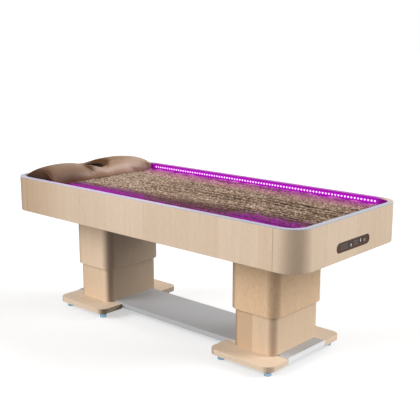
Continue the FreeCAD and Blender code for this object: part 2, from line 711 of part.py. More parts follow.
def glides(x):
    """Plastic glides fixed inside the top of the outer tube, one on each of its walls."""
    top = OUTER_TUBE_TOP
    bottom = top - GLIDE_HEIGHT
    half = GLIDE_WIDTH / 2
    pads = []
    for side in (-1, 1):
        wall_x = OUTER_TUBE_LENGTH / 2 - TUBE_WALL
        wall_y = OUTER_TUBE_WIDTH / 2 - TUBE_WALL
        face_x, face_y = wall_x - GLIDE_GAP + GLIDE_CLEARANCE, wall_y - GLIDE_GAP + GLIDE_CLEARANCE
        low_x, high_x = sorted((side * wall_x, side * face_x))
        low_y, high_y = sorted((side * wall_y, side * face_y))
        pads.append(block(x + low_x, x + high_x, -half, half, bottom, top))
        pads.append(block(x - half, x + half, low_y, high_y, bottom, top))
    return pads


def sleeves(name, x):
    """The veneered sleeves: the lower one stands on the base, the upper one hangs from the tub."""
    lower = ring(
        LOWER_SLEEVE_LENGTH,
        LOWER_SLEEVE_WIDTH,
        LOWER_SLEEVE_RADIUS,
        SLEEVE_WALL,
        WING_TOP,
        LOWER_SLEEVE_TOP,
        x,
    )
    half = SPINE_WIDTH / 2 + WING_GAP
    reach = LOWER_SLEEVE_LENGTH / 2 + OVERRUN
    over_spine = block(x - reach, x + reach, -half, half, WING_TOP - OVERRUN, SPINE_TOP)
    save("lower_sleeve_" + name, lower.cut(over_spine))
    upper = ring(
        UPPER_SLEEVE_LENGTH,
        UPPER_SLEEVE_WIDTH,
        UPPER_SLEEVE_RADIUS,
        SLEEVE_WALL,
        UPPER_SLEEVE_BOTTOM,
        TUB_BOTTOM,
        x,
        eased=UPPER_SLEEVE_BOTTOM,
        ease=SLEEVE_EDGE_RADIUS,
    )
    save("upper_sleeve_" + name, upper)


def gear_motor(x):
    """The geared motor at the foot of a column."""
    gearbox = slab(GEARBOX_LENGTH, GEARBOX_WIDTH, TUBE_RADIUS, COLUMN_FOOT, GEARBOX_TOP, x)
    motor = rod(MOTOR_RADIUS, COLUMN_FOOT, GEARBOX_TOP + MOTOR_HEIGHT, x, MOTOR_Y)
    return join([gearbox, motor])


def spindle(x):
    """The lifting spindle that stands on the gearbox."""
    collar_top = SPINDLE_BOTTOM + SPINDLE_COLLAR_HEIGHT
    collar = rod(SPINDLE_COLLAR_RADIUS, SPINDLE_BOTTOM, collar_top, x, SPINDLE_Y)
    screw = rod(SPINDLE_RADIUS, SPINDLE_BOTTOM, SPINDLE_TOP, x, SPINDLE_Y)
    return join([collar, screw])


def spindle_nut(x):
    """The nut that rides on the spindle, with the push tube that hangs from the inner tube's flange."""
    nut_top = NUT_BOTTOM + NUT_LENGTH
    bore = SPINDLE_RADIUS + SPINDLE_RUNNING_GAP
    nut = rod(NUT_RADIUS, NUT_BOTTOM, nut_top, x, SPINDLE_Y)
    tube = rod(bore + PUSH_TUBE_WALL, nut_top, INNER_TUBE_TOP, x, SPINDLE_Y)
    hole = rod(bore, NUT_BOTTOM - OVERRUN, INNER_TUBE_TOP + OVERRUN, x, SPINDLE_Y)
    return join([nut, tube]).cut(hole)


def drives():
    """The spindle drive and the glides of both columns."""
    places = [x for _, x in COLUMNS]
    save("gear_motors", *[gear_motor(x) for x in places])
    save("spindle_nuts", *[spindle_nut(x) for x in places])
    save("glide_pads", *[pad for x in places for pad in glides(x)])
    for name, x in COLUMNS:
        save("spindle_" + name, spindle(x))


def bolts():
    """The bolts under and over the columns, each kind as one group."""
    base, top = [], []
    nut_gap = SPINE_TOP - SPINE_SHEET
    for _, x in COLUMNS:
        for bolt_x, bolt_y in bolt_places(x):
            head = hex_bar(BOLT_HEAD_RADIUS, COLUMN_FOOT, COLUMN_FOOT + BOLT_HEAD_HEIGHT, bolt_x, bolt_y)
            shank = rod(BOLT_RADIUS, nut_gap - BOLT_HEAD_HEIGHT, COLUMN_FOOT, bolt_x, bolt_y)
            nut = hex_bar(BOLT_HEAD_RADIUS, nut_gap - BOLT_HEAD_HEIGHT, nut_gap, bolt_x, bolt_y)
            base.append(join([head, shank, nut]))
            low = hex_bar(BOLT_HEAD_RADIUS, INNER_TUBE_TOP - BOLT_HEAD_HEIGHT, INNER_TUBE_TOP, bolt_x, bolt_y)
            stem = rod(BOLT_RADIUS, INNER_TUBE_TOP, RAIL_TOP, bolt_x, bolt_y)
            top.append(join([low, stem]))
    save("column_base_bolts", *base)
    save("column_top_bolts", *top)


def wing(name, x, side):
    """One veneered wing of the base, grooved underneath for the cross tubes."""
    inner = SPINE_WIDTH / 2 + WING_GAP
    outer = BASE_WIDTH / 2
    # The board reaches under the spine by its own radius, then is cut to leave only the outer corners round
    start = inner - WING_RADIUS
    width = outer - start
    middle = side * (start + outer) / 2
    board = slab(BASE_LENGTH, width, WING_RADIUS, WING_UNDERSIDE, WING_TOP, x, middle)
    groove_low = WING_UNDERSIDE + (WING_THICKNESS - EDGE_GROOVE_HEIGHT) / 2
    groove_high = groove_low + EDGE_GROOVE_HEIGHT
    cut_depth = 2 * EDGE_GROOVE_DEPTH
    around = slab(
        BASE_LENGTH + OVERRUN, width + OVERRUN, WING_RADIUS, groove_low, groove_high, x, middle
    )
    core = slab(
        BASE_LENGTH - cut_depth,
        width - cut_depth,
        WING_RADIUS - EDGE_GROOVE_DEPTH,
        groove_low - OVERRUN,
        groove_high + OVERRUN,
        x,
        middle,
    )
    board = board.cut(around.cut(core))
    board = board.makeFillet(WING_EDGE_RADIUS, edges_at(board, WING_TOP))
    reach = BASE_LENGTH / 2 + OVERRUN
    low_y, high_y = sorted((0.0, side * inner))
    board = board.cut(
        block(x - reach, x + reach, low_y, high_y, WING_UNDERSIDE - OVERRUN, WING_TOP + OVERRUN)
    )
    half = CROSS_TUBE_WIDTH / 2 + CROSS_TUBE_FIT
    end = BASE_WIDTH / 2 - CROSS_TUBE_END_MARGIN + CROSS_TUBE_FIT
    low_y, high_y = sorted((0.0, side * end))
    for tube_x in (x - FOOT_PLACE_X, x + FOOT_PLACE_X):
        board = board.cut(
            block(
                tube_x - half,
                tube_x + half,
                low_y,
                high_y,
                WING_UNDERSIDE - OVERRUN,
                CROSS_TUBE_TOP + CROSS_TUBE_FIT,
            )
        )
    save(name, board)


def cross_tubes():
    """Steel tubes across the base, one over each pair of feet, with the threaded inserts in them."""
    reach = BASE_WIDTH / 2 - CROSS_TUBE_END_MARGIN
    inserts, tubes = [], []
    for _, x in COLUMNS:
        for tube_x in (x - FOOT_PLACE_X, x + FOOT_PLACE_X):
            half = CROSS_TUBE_WIDTH / 2
            hollow = half - CROSS_TUBE_WALL
            tube = block(tube_x - half, tube_x + half, -reach, reach, CROSS_TUBE_BOTTOM, CROSS_TUBE_TOP)
            tube = tube.cut(
                block(
                    tube_x - hollow,
                    tube_x + hollow,
                    -reach - OVERRUN,
                    reach + OVERRUN,
                    CROSS_TUBE_BOTTOM + CROSS_TUBE_WALL,
                    CROSS_TUBE_TOP - CROSS_TUBE_WALL,
                )
            )
            for side in (-1, 1):
                y = side * FOOT_PLACE_Y
                hole_radius = NUT_COLLAR_RADIUS + THREAD_CLEARANCE
                hole_low, hole_high = CROSS_TUBE_BOTTOM - OVERRUN, CROSS_TUBE_BOTTOM + CROSS_TUBE_WALL
                tube = tube.cut(rod(hole_radius, hole_low, hole_high, tube_x, y))
                inserts.append(insert(tube_x, y))
            tubes.append(tube)
    save("cross_tubes", *tubes)
    save("foot_inserts", *inserts)


def insert(x, y):
    """A threaded insert: a flange under the cross tube and a collar inside it."""
    flange_bottom = CROSS_TUBE_BOTTOM - NUT_FLANGE_THICKNESS
    top = CROSS_TUBE_BOTTOM + NUT_COLLAR_HEIGHT
    plate = rod(NUT_FLANGE_RADIUS, flange_bottom, CROSS_TUBE_BOTTOM, x, y)
    collar = rod(NUT_COLLAR_RADIUS, CROSS_TUBE_BOTTOM, top, x, y)
    bore = rod(FOOT_STUD_RADIUS + THREAD_CLEARANCE, flange_bottom - OVERRUN, top + OVERRUN, x, y)
    return join([plate, collar]).cut(bore)


def levelling_feet():
    """Eight screw-in feet, shown fully home against their inserts."""
    stop = CROSS_TUBE_BOTTOM - NUT_FLANGE_THICKNESS - FOOT_STOP_GAP
    number = 0
    for _, x in COLUMNS:
        for foot_x in (x - FOOT_PLACE_X, x + FOOT_PLACE_X):
            for side in (-1, 1):
                number += 1
                y = side * FOOT_PLACE_Y
                pad = rod(FOOT_RADIUS, 0, FOOT_HEIGHT, foot_x, y)
                pad = pad.makeFillet(FOOT_EDGE_RADIUS, edges_at(pad, FOOT_HEIGHT))
                neck = rod(FOOT_NECK_RADIUS, 0, stop, foot_x, y)
                stud = rod(FOOT_STUD_RADIUS, 0, CROSS_TUBE_BOTTOM + FOOT_STUD_REACH, foot_x, y)
                save("levelling_foot_%d" % number, join([pad, neck, stud]))


def spine():
    """The folded steel spine between the two bases, its end caps and the mains inlet."""
    start, end = SPINE_HEAD_END + END_CAP_THICKNESS, SPINE_FOOT_END - END_CAP_THICKNESS
    half = SPINE_WIDTH / 2
    channel = block(start, end, -half, half, SPINE_BOTTOM, SPINE_TOP)
    long_edges = [
        e
        for e in channel.Edges
        if abs(e.BoundBox.ZMin - SPINE_TOP) < FACE_TOLERANCE and e.BoundBox.XLength > SPINE_WIDTH
    ]
    channel = channel.makeFillet(SPINE_EDGE_RADIUS, long_edges)
    hollow = half - SPINE_SHEET
    channel = channel.cut(
        block(
            start - OVERRUN, end + OVERRUN, -hollow, hollow, SPINE_BOTTOM - OVERRUN, SPINE_TOP - SPINE_SHEET
        )
    )
    for _, x in COLUMNS:
        channel = drilled(channel, x, SPINE_TOP - SPINE_SHEET, SPINE_TOP)
        for tube_x in (x - FOOT_PLACE_X, x + FOOT_PLACE_X):
            notch = CROSS_TUBE_WIDTH / 2 + CROSS_TUBE_FIT
            reach = half + OVERRUN
            channel = channel.cut(
                block(tube_x - notch, tube_x + notch, -reach, reach, SPINE_BOTTOM - OVERRUN, CROSS_TUBE_TOP)
            )
    save("spine_channel", channel)
    save("spine_cap_foot", block(end, SPINE_FOOT_END, -half, half, SPINE_BOTTOM, SPINE_TOP))
    cap = block(SPINE_HEAD_END, start, -half, half, SPINE_BOTTOM, SPINE_TOP)
    height = (SPINE_BOTTOM + SPINE_TOP) / 2
    cut_out = end_plate(
        INLET_BODY_WIDTH + 2 * INLET_FIT,
        INLET_BODY_HEIGHT + 2 * INLET_FIT,
        INLET_FLANGE_RADIUS,
        SPINE_HEAD_END - OVERRUN,
        start + OVERRUN,
        0.0,
        height,
    )
    save("spine_cap_head", cap.cut(cut_out))
    save("mains_inlet", mains_inlet(height))


def mains_inlet(height):
    """The appliance inlet in the head cap: flange, body, socket and three flat pins."""
    face = SPINE_HEAD_END
    mouth = face - INLET_FLANGE_THICKNESS
    plate = end_plate(INLET_FLANGE_WIDTH, INLET_FLANGE_HEIGHT, INLET_FLANGE_RADIUS, mouth, face, 0.0, height)
    back = face + INLET_BODY_DEPTH
    body = end_plate(INLET_BODY_WIDTH, INLET_BODY_HEIGHT, INLET_FLANGE_RADIUS, mouth, back, 0.0, height)
    socket_floor = mouth + INLET_SOCKET_DEPTH
    socket = end_plate(
        INLET_SOCKET_WIDTH,
        INLET_SOCKET_HEIGHT,
        INLET_SOCKET_RADIUS,
        mouth - OVERRUN,
        socket_floor,
        0.0,
        height,
    )
    pins = []
    for y in (-INLET_PIN_SPACING, 0.0, INLET_PIN_SPACING):
        half_width, half_height = INLET_PIN_WIDTH / 2, INLET_PIN_HEIGHT / 2
        low, high = height - half_height, height + half_height
        pins.append(block(socket_floor - INLET_PIN_LENGTH, back, y - half_width, y + half_width, low, high))
    return join([join([plate, body]).cut(socket)] + pins)


def control_unit():
    """The control unit on the basin floor, in the bay under the shelf."""
    x = (DIVIDER_X - BASIN_HALF_LENGTH) / 2
    y = BASIN_HALF_WIDTH - UNIT_FROM_WALL - UNIT_WIDTH / 2
    top = BASIN_FLOOR_TOP + UNIT_HEIGHT
    save("control_unit", slab(UNIT_LENGTH, UNIT_WIDTH, UNIT_RADIUS, BASIN_FLOOR_TOP, top, x, y))


os.makedirs("parts", exist_ok=True)
casing()
rim_trim()
basin()
sand_bed()
head_bay()
cushion()
lights()
underfloor()
control_panel()
control_unit()
for column_name, column_x in COLUMNS:
    column(column_name, column_x)
    wing("wing_%s_near" % column_name, column_x, -1)
    wing("wing_%s_far" % column_name, column_x, 1)
drives()
bolts()
cross_tubes()
levelling_feet()
spine()
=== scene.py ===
# %% [markdown]
# # A heated bed of sand, dressed around its CAD frame
# The object is a veneered tub full of coarse sand, lit from under its rim, with an upholstered head
# cushion, on two lifting columns. The packed CAD model gives every piece its size and place. This
# script gives each surface its finish and rebuilds the soft and loose things, the cushion and the
# sand, as meshes of their own. Everything is in metres, in the CAD model's frame.

# %% Load the frame
import json
import math

import bmesh
import bpy
import numpy as np
from mathutils import Matrix, Vector, noise


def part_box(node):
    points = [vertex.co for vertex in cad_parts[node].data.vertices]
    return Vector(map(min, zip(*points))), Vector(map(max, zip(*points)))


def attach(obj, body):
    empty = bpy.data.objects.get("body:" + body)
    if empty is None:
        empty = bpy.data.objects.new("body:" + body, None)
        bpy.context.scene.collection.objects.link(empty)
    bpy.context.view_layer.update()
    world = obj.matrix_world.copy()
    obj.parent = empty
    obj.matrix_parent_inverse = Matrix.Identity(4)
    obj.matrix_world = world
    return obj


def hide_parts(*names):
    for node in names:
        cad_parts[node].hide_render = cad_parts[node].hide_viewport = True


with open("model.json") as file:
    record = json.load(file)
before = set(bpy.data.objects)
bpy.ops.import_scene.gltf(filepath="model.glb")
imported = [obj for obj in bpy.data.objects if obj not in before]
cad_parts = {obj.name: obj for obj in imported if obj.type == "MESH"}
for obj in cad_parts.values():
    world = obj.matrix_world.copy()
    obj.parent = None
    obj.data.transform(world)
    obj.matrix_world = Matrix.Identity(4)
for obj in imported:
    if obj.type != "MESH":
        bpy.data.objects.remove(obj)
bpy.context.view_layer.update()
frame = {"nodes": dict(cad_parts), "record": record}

nodes = frame["nodes"]

# %% [markdown]
# ## The camera
# The camera stands where the photograph was taken: its place and turn were worked out from the
# edges of the tub. The picture is square, so the lens length on a 36 mm sensor fixes the view.

# %% Camera
CAMERA_SENSOR = 36.0
CAMERA_LENS = 67.18
CAMERA_PLACE = (3.0029, -3.2104, 1.6749)
CAMERA_AZIMUTH = math.radians(41.717)
CAMERA_ELEVATION = math.radians(12.6006)
CAMERA_ROLL = math.radians(0.0857)


def add_object(name, data):
    """A new object in the scene that holds the data."""
    made = bpy.data.objects.new(name, data)
    bpy.context.scene.collection.objects.link(made)
    return made


camera = add_object("camera", bpy.data.cameras.new("camera"))
back = Vector(
    (
        math.sin(CAMERA_AZIMUTH) * math.cos(CAMERA_ELEVATION),
        -math.cos(CAMERA_AZIMUTH) * math.cos(CAMERA_ELEVATION),
        math.sin(CAMERA_ELEVATION),
    )
)
level = Vector((math.cos(CAMERA_AZIMUTH), math.sin(CAMERA_AZIMUTH), 0))
turn = Matrix((level, back.cross(level), back)).transposed()
camera.matrix_world = Matrix.Translation(CAMERA_PLACE) @ (
    turn @ Matrix.Rotation(CAMERA_ROLL, 3, "Z")
).to_4x4()
camera.data.lens, camera.data.sensor_width = CAMERA_LENS, CAMERA_SENSOR
bpy.context.scene.camera = camera
bpy.context.scene.view_settings.view_transform = "Standard"
print("camera looks along", [round(-x, 3) for x in back])

# %% [markdown]
# ## Shader maths as Python
# A finish is a sum of masks and colours. Adding and linking each Math node by hand would take
# pages, so one class wraps a node's output, and plain arithmetic such as `1 - mask * 0.4` adds them.


# %% A node's output
class Wire:
    """A node's output. Arithmetic on it adds Math nodes."""

    def __init__(self, finish, socket):
        self.finish, self.socket = finish, socket

    def math(self, operation, *others, clamp=False):
        """One Math node, kept from 0 to 1 where clamp is set."""
        settings = {"operation": operation, "use_clamp": clamp}
        inputs = dict(enumerate((self, *others)))
        return self.finish.node("ShaderNodeMath", settings, inputs)

    def __add__(self, other):
        return self.math("ADD", other)

    def __sub__(self, other):
        return self.math("SUBTRACT", other)

    def __rsub__(self, other):
        return (self * -1.0) + other

    def __mul__(self, other):
        return self.math("MULTIPLY", other)

    def __truediv__(self, other):
        return self.math("DIVIDE", other)

    __radd__, __rmul__ = __add__, __mul__

    def size(self):
        """The value without its sign."""
        return self.math("ABSOLUTE")

    def clipped(self):
        """The value kept from 0 to 1."""
        return self.math("ADD", 0.0, clamp=True)

    def above(self, start, full):
        """0 below start, 1 past full, with a smooth rise between them. Full may lie below start."""
        settings = {"interpolation_type": "SMOOTHSTEP"}
        low, high, first, last = (start, full, 0.0, 1.0) if start < full else (full, start, 1.0, 0.0)
        inputs = {"Value": self, "From Min": low, "From Max": high, "To Min": first, "To Max": last}
        return self.finish.node("ShaderNodeMapRange", settings, inputs)


print("a wire can also do", ", ".join(word for word in vars(Wire) if not word.startswith("_")))

# %% [markdown]
# A second class holds the nodes of one material or of the sky. Its `node` method adds any other
# node from its type, its settings and what its sockets take, so all shaders are made in one way.

# %% A graph of nodes
CLEAR_RAYS = ("Camera", "Glossy", "Transmission")


class Graph:
    """The nodes of a material or of the sky."""

    def __init__(self, owner):
        owner.use_nodes = True
        self.tree = owner.node_tree
        self.tree.nodes.clear()

    def plug(self, socket, value):
        """Links a wire to a socket, or sets the socket to a value."""
        if isinstance(value, Wire):
            self.tree.links.new(value.socket, socket)
        else:
            socket.default_value = value

    def node(self, kind, settings=None, inputs=None, output=0):
        """Adds a node and returns one of its outputs. A ramp's stops are its setting 'stops'."""
        made = self.tree.nodes.new(kind)
        for key, value in (settings or {}).items():
            if key == "stops":
                while len(made.color_ramp.elements) < len(value):
                    made.color_ramp.elements.new(1.0)
                for stop, (place, colour) in zip(made.color_ramp.elements, value):
                    stop.position, stop.color = place, (*colour[:3], 1.0)
            else:
                setattr(made, key, value)
        for socket, value in (inputs or {}).items():
            self.plug(made.inputs[socket], value)
        return None if output is None else Wire(self, made.outputs[output])

    def mix(self, factor, first, second, blend="MIX"):
        """Two colours mixed. The Mix node takes them in sockets 6 and 7 and gives output 2."""
        settings = {"data_type": "RGBA", "blend_type": blend}
        first, second = (c if isinstance(c, Wire) else (*c, 1.0) for c in (first, second))
        return self.node("ShaderNodeMix", settings, {0: factor, 6: first, 7: second}, 2)

    def seen_or_mirrored(self):
        """1 for rays from the camera, off gloss or through glass, and 0 for all others."""
        rays = [self.node("ShaderNodeLightPath", output="Is %s Ray" % kind) for kind in CLEAR_RAYS]
        return (rays[0] + rays[1] + rays[2]).clipped()


print("white to rays of these kinds:", ", ".join(CLEAR_RAYS))

# %% [markdown]
# A third class is one material. It adds what the finishes share: noise, cells, the place on a piece
# and the way its surface faces, so that a finish reads as a list of what is seen on it.


# %% One material
class Finish(Graph):
    """One material: a Principled shader and the nodes that feed it."""

    def __init__(self, name, **constants):
        self.material = bpy.data.materials.new(name)
        super().__init__(self.material)
        self.shader = self.tree.nodes.new("ShaderNodeBsdfPrincipled")
        surface = Wire(self, self.shader.outputs[0])
        self.node("ShaderNodeOutputMaterial", inputs={"Surface": surface}, output=None)
        for socket, value in constants.items():
            self.feed(socket.replace("_", " "), value)

    def feed(self, socket, value):
        """Gives one input of the shader a value or a wire."""
        self.plug(self.shader.inputs[socket], value)

    def place(self, *scales):
        """The point on the piece, each axis times its scale. A small scale draws a pattern out."""
        point = self.node("ShaderNodeTexCoord", output="Object")
        if not scales:
            return point
        return self.node("ShaderNodeVectorMath", {"operation": "MULTIPLY"}, {0: point, 1: scales})

    def axis(self, name):
        """The point's distance along one axis."""
        return self.node("ShaderNodeSeparateXYZ", inputs={"Vector": self.place()}, output=name)

    def noise(self, vector, scale=1.0, detail=3.0, roughness=0.5):
        """Cloudy noise round 0.5. More detail adds finer layers."""
        inputs = {"Vector": vector, "Scale": scale, "Detail": detail, "Roughness": roughness}
        return self.node("ShaderNodeTexNoise", inputs=inputs)

    def cells(self, vector, scale, output="Distance"):
        """Distance from the middle of the cell that a point is in, or the cell's colour."""
        inputs = {"Vector": vector, "Scale": scale}
        return self.node("ShaderNodeTexVoronoi", inputs=inputs, output=output)

    def cell_value(self, vector, scale):
        """A number from 0 to 1 that is the same all over each cell."""
        colour = self.cells(vector, scale, "Color")
        return self.node("ShaderNodeSeparateColor", inputs={"Color": colour})

    def facing(self, name):
        """How far the surface faces along one axis, from -1 to 1."""
        normal = self.node("ShaderNodeNewGeometry", output="Normal")
        return self.node("ShaderNodeSeparateXYZ", inputs={"Vector": normal}, output=name)

    def ramp(self, value, *stops):
        """A colour for each value, between stops of (place, colour)."""
        return self.node("ShaderNodeValToRGB", {"stops": stops}, {"Fac": value}, "Color")

    def bump(self, height, distance, strength=1.0):
        """Fine relief that only bends the light. Distance is its height in metres."""
        inputs = {"Height": height, "Distance": distance, "Strength": strength}
        self.feed("Normal", self.node("ShaderNodeBump", inputs=inputs, output="Normal"))


print("a finish adds", ", ".join(word for word in vars(Finish) if not word.startswith("_")))

# %% [markdown]
# Colours are given as a screen shows them, because that is how they are read off a photograph.
# Blender works in linear light, where half the light is half the value, so each one is converted.


# %% Colours
def paint(red, green, blue):
    """A colour as seen on a screen, 0 to 255, in Blender's linear light."""
    shares = [c / 255 for c in (red, green, blue)]
    return tuple(s / 12.92 if s <= 0.04045 else ((s + 0.055) / 1.055) ** 2.4 for s in shares)


print("a screen grey of 128 is", round(paint(128, 128, 128)[0], 3), "in linear light")

# %% [markdown]
# ## Studio floor and sky
# The photograph has a white studio round the bed, so the floor and the sky look white to the camera
# and in reflections. If their light were as strong as they look, it would fill the shaded sides of
# the columns. For all other rays the floor is therefore grey and the sky is dim.

# %% Floor and sky
FLOOR_REACH = 60.0
FLOOR_LIGHT = 0.28
FLOOR_SEEN = 0.60
FLOOR_GLOW = 0.53
SKY_FILL = 0.34


def stage_floor():
    """One wide square that carries the bed's shadow."""
    mesh = bpy.data.meshes.new("floor")
    corners = [(x * FLOOR_REACH, y * FLOOR_REACH, 0) for x, y in ((-1, -1), (1, -1), (1, 1), (-1, 1))]
    mesh.from_pydata(corners, [], [(0, 1, 2, 3)])
    floor = add_object("floor", mesh)
    finish = Finish("floor", Roughness=1.0, Specular_IOR_Level=0.0, Emission_Strength=1.0)
    seen = finish.seen_or_mirrored()
    finish.feed("Base Color", finish.mix(seen, (FLOOR_LIGHT,) * 3, (FLOOR_SEEN,) * 3))
    finish.feed("Emission Color", finish.mix(seen, (0, 0, 0), (FLOOR_GLOW,) * 3))
    mesh.materials.append(finish.material)


def sky():
    """White to the camera and in reflections, and dim as a lamp."""
    world = bpy.data.worlds.new("sky")
    bpy.context.scene.world = world
    graph = Graph(world)
    light = graph.seen_or_mirrored() * (1.0 - SKY_FILL) + SKY_FILL
    shell = graph.node("ShaderNodeBackground", inputs={"Color": (1, 1, 1, 1), "Strength": light})
    graph.node("ShaderNodeOutputWorld", inputs={"Surface": shell}, output=None)


stage_floor()
sky()
print("the sky lights with", SKY_FILL, "of its white, the floor with", FLOOR_LIGHT)

# %% [markdown]
# ## Lamps
# The light in the photograph is soft and comes from both sides. Lamps of a given size near the bed
# could do that, but a sun lights its whole length evenly. Two wide suns stand far to the left and
# right of the camera, so the rounded corner that points at the camera falls between them and
# darkens. The left one gives little gloss, which keeps the near side matt.

# %% Lamps
SUNS = {
    "sun_left": {"toward": (-0.50, -0.75, 0.43), "strength": 2.70, "spread": 40.0, "gloss": 0.15},
    "sun_right": {"toward": (0.66, 0.58, 0.48), "strength": 2.92, "spread": 40.0, "gloss": 1.0},
}


def add_sun(name, toward, strength, spread, gloss):
    """A sun that shines from one direction and looks as wide as its spread in degrees."""
    lamp = bpy.data.lights.new(name, "SUN")
    lamp.energy, lamp.angle, lamp.specular_factor = strength, math.radians(spread), gloss
    sun = add_object(name, lamp)
    sun.rotation_mode = "QUATERNION"
    sun.rotation_quaternion = Vector(toward).to_track_quat("Z", "Y")


for sun_name, facts in SUNS.items():
    add_sun(sun_name, **facts)
print("lamps:", ", ".join(SUNS))

# %% [markdown]
# ## Measures read from the frame
# The glow, the sand and the cushion all follow a few places of the CAD model, so they are read
# from its nodes once and named here. The face hole narrows downward, and two ellipses give its
# throat and its mouth.

# %% Measures
sand_low, sand_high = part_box("sand_bed")
strip_low, strip_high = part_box("led_strips")
chip_low, chip_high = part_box("led_chips")
pad_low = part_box("head_cushion")[0]
board_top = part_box("cushion_board")[1].z
rim_edge_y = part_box("rim_trim")[1].y
WALL_Y = strip_high.y
LIGHT_Z = (strip_low.z + strip_high.z) / 2
LIGHT_START, LIGHT_END = strip_low.x, strip_high.x
HOLE_CENTRE = Vector((-0.892, 0.0))
HOLE_RADII = (0.054, 0.058)
MOUTH_CENTRE = Vector((-0.886, 0.005))
MOUTH_RADII = (0.066, 0.074)
print("sand", [round(x, 3) for x in sand_high - sand_low], "light line at", round(LIGHT_Z, 4))

# %% [markdown]
# ## Veneer
# The casing, the sleeves and the base are board with a pale straight-grained veneer under satin
# lacquer. Real veneer comes in leaves, each with its own tone, joined edge to edge. A picture of
# wood could be wrapped round the board. Cells along one axis give leaves of any width instead, and
# a pattern that is worked out in space runs round a bent corner without a break.

# %% Leaves of veneer
PANEL_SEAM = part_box("side_panel_near")[1].x
LEAF_SHIFT, LEAF_RANDOMNESS = 0.4, 0.55
LEAF_JOINT, CASE_JOINT = (0.003, 0.0008), (0.0022, 0.0010)
LEAF_JOINT_SHARE, CASE_JOINT_SHARE = 0.6, 1.8


def leaf_pattern(finish, axis, width):
    """Each leaf's random colour, its tone from 0 to 1, and a mask of the joints."""
    inputs = {"W": finish.axis(axis) + LEAF_SHIFT, "Scale": 1 / width, "Randomness": LEAF_RANDOMNESS}

    def row(feature, output):
        settings = {"voronoi_dimensions": "1D", "feature": feature}
        return finish.node("ShaderNodeTexVoronoi", settings, inputs, output)

    colour = row("F1", "Color")
    tone = finish.node("ShaderNodeSeparateColor", inputs={"Color": colour})
    between = row("DISTANCE_TO_EDGE", "Distance").above(*LEAF_JOINT)
    at_corner = (finish.axis("X").size() - PANEL_SEAM).size().above(*CASE_JOINT)
    joint = between * LEAF_JOINT_SHARE + at_corner * CASE_JOINT_SHARE
    return colour, tone, joint.clipped()


print("the casing's panels meet at x", round(PANEL_SEAM, 3), "and its mirror")

# %% [markdown]
# The grain has broad streaks, fine lines and tiny dark pores, with short flecks and a mottle across
# them. Noise that is drawn out along the grain gives them all, at one scale each. The random colour
# of each leaf shifts the noise, so that no pattern runs on from one leaf into the next.

# %% Grain
GRAIN_AXES = {"x": 0, "y": 1, "z": 2}
PORES_FROM, FLECKS_FROM = (0.60, 0.72), (0.60, 0.76)


def grain_pattern(finish, axis, shift):
    """The grain's layers by name."""
    shifted = finish.node("ShaderNodeVectorMath", {"operation": "ADD"}, {0: finish.place(), 1: shift})

    def drawn_out(across, along, **settings):
        scales = [across] * 3
        scales[GRAIN_AXES[axis]] = along
        point = finish.node("ShaderNodeVectorMath", {"operation": "MULTIPLY"}, {0: shifted, 1: scales})
        return finish.noise(point, **settings)

    return {
        "streaks": drawn_out(38.0, 2.2, detail=4.0, roughness=0.6),
        "lines": drawn_out(330.0, 16.0, detail=3.0, roughness=0.65),
        "mottle": drawn_out(105.0, 36.0, detail=5.0, roughness=0.75),
        "pores": drawn_out(1400.0, 90.0, detail=1.0).above(*PORES_FROM),
        "flecks": drawn_out(300.0, 62.0, detail=2.0).above(*FLECKS_FROM),
        "clouds": finish.noise(finish.place(3.1, 3.1, 1.3), detail=2.0),
    }


print("grain runs along", ", ".join(GRAIN_AXES))

# %% [markdown]
# In the photograph the bends, the faces toward the head end and the near head corner are darker
# and redder than the lamps here make them. Other lamps could do that, but would change the sand
# and the cushion too. So a part of that shade is painted, by place and by the way a face looks.

# %% Shade of the wood
BEND_SHADE, AWAY_SHADE, BEND_GAIN = 0.27, 0.40, 2.0
AWAY_FROM, INNER_FROM = (-0.02, -0.40), (0.35, 0.85)
HEAD_SHADE_END, HEAD_SHADE_SIDE = -0.95, (-0.33, -0.45)
PAINTED_SHADE_TONE = paint(98, 58, 34)
CORNER_SHADE = (0.74, 0.67, 0.59)


def shaded(finish, colour, inner, warm):
    """A colour of wood with painted shade in the bends, toward the head end and under the tub."""
    # painted shade in the bends and on faces turned toward the head end
    bent = (finish.facing("X") * finish.facing("Y")).size() * BEND_GAIN
    colour = finish.mix(bent.clipped() * BEND_SHADE, colour, PAINTED_SHADE_TONE)
    colour = finish.mix(finish.facing("X").above(*AWAY_FROM) * AWAY_SHADE, colour, PAINTED_SHADE_TONE)
    # painted shade that darkens and reddens the near side toward the head end
    if warm is not None:
        start, share = warm
        warmed = finish.axis("X").above(start, HEAD_SHADE_END) * finish.axis("Y").above(*HEAD_SHADE_SIDE)
        colour = finish.mix(warmed * share, colour, CORNER_SHADE, "MULTIPLY")
    # painted shade on the faces toward the foot, under the tub
    if inner < 1.0:
        colour = finish.mix(finish.facing("X").above(*INNER_FROM), colour, (inner,) * 3, "MULTIPLY")
    return colour


print("bends take", BEND_SHADE, "of a brown tone")

# %% [markdown]
# One function then makes every veneer, and a table gives each kind its pale and deep tone and what
# else sets it apart. The long side grows deeper toward its two ends, the foot column's lower sleeve
# has one leaf that ends in a clear step, and the upper one has a strong mottle.

# %% Veneer
WOOD_SHARES = {"streaks": 0.42, "lines": 0.36, "leaf": 0.20, "clouds": 0.3}
WOOD_LEVEL = 0.14
DARK_PARTS = {"pores": (0.30, 0.45), "flecks": (0.30, 0.62), "joint": (0.5, 0.42)}
WOOD_ROUGHNESS, WOOD_RELIEF = 0.42, 0.00012
LEAF_STEP = 0.617
SLEEVE_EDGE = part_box("upper_sleeve_head")[0].z
EDGE_SOFTNESS = 0.001
HEAD_RISE, HEAD_DEPTH = (-0.5, -1.0), 0.75
FOOT_RISE, FOOT_DEPTH = (0.45, 0.9), 0.16
STEP_DEPTH, SLEEVE_DEPTH, SIDE_LIFT = 0.55, 0.3, 0.06


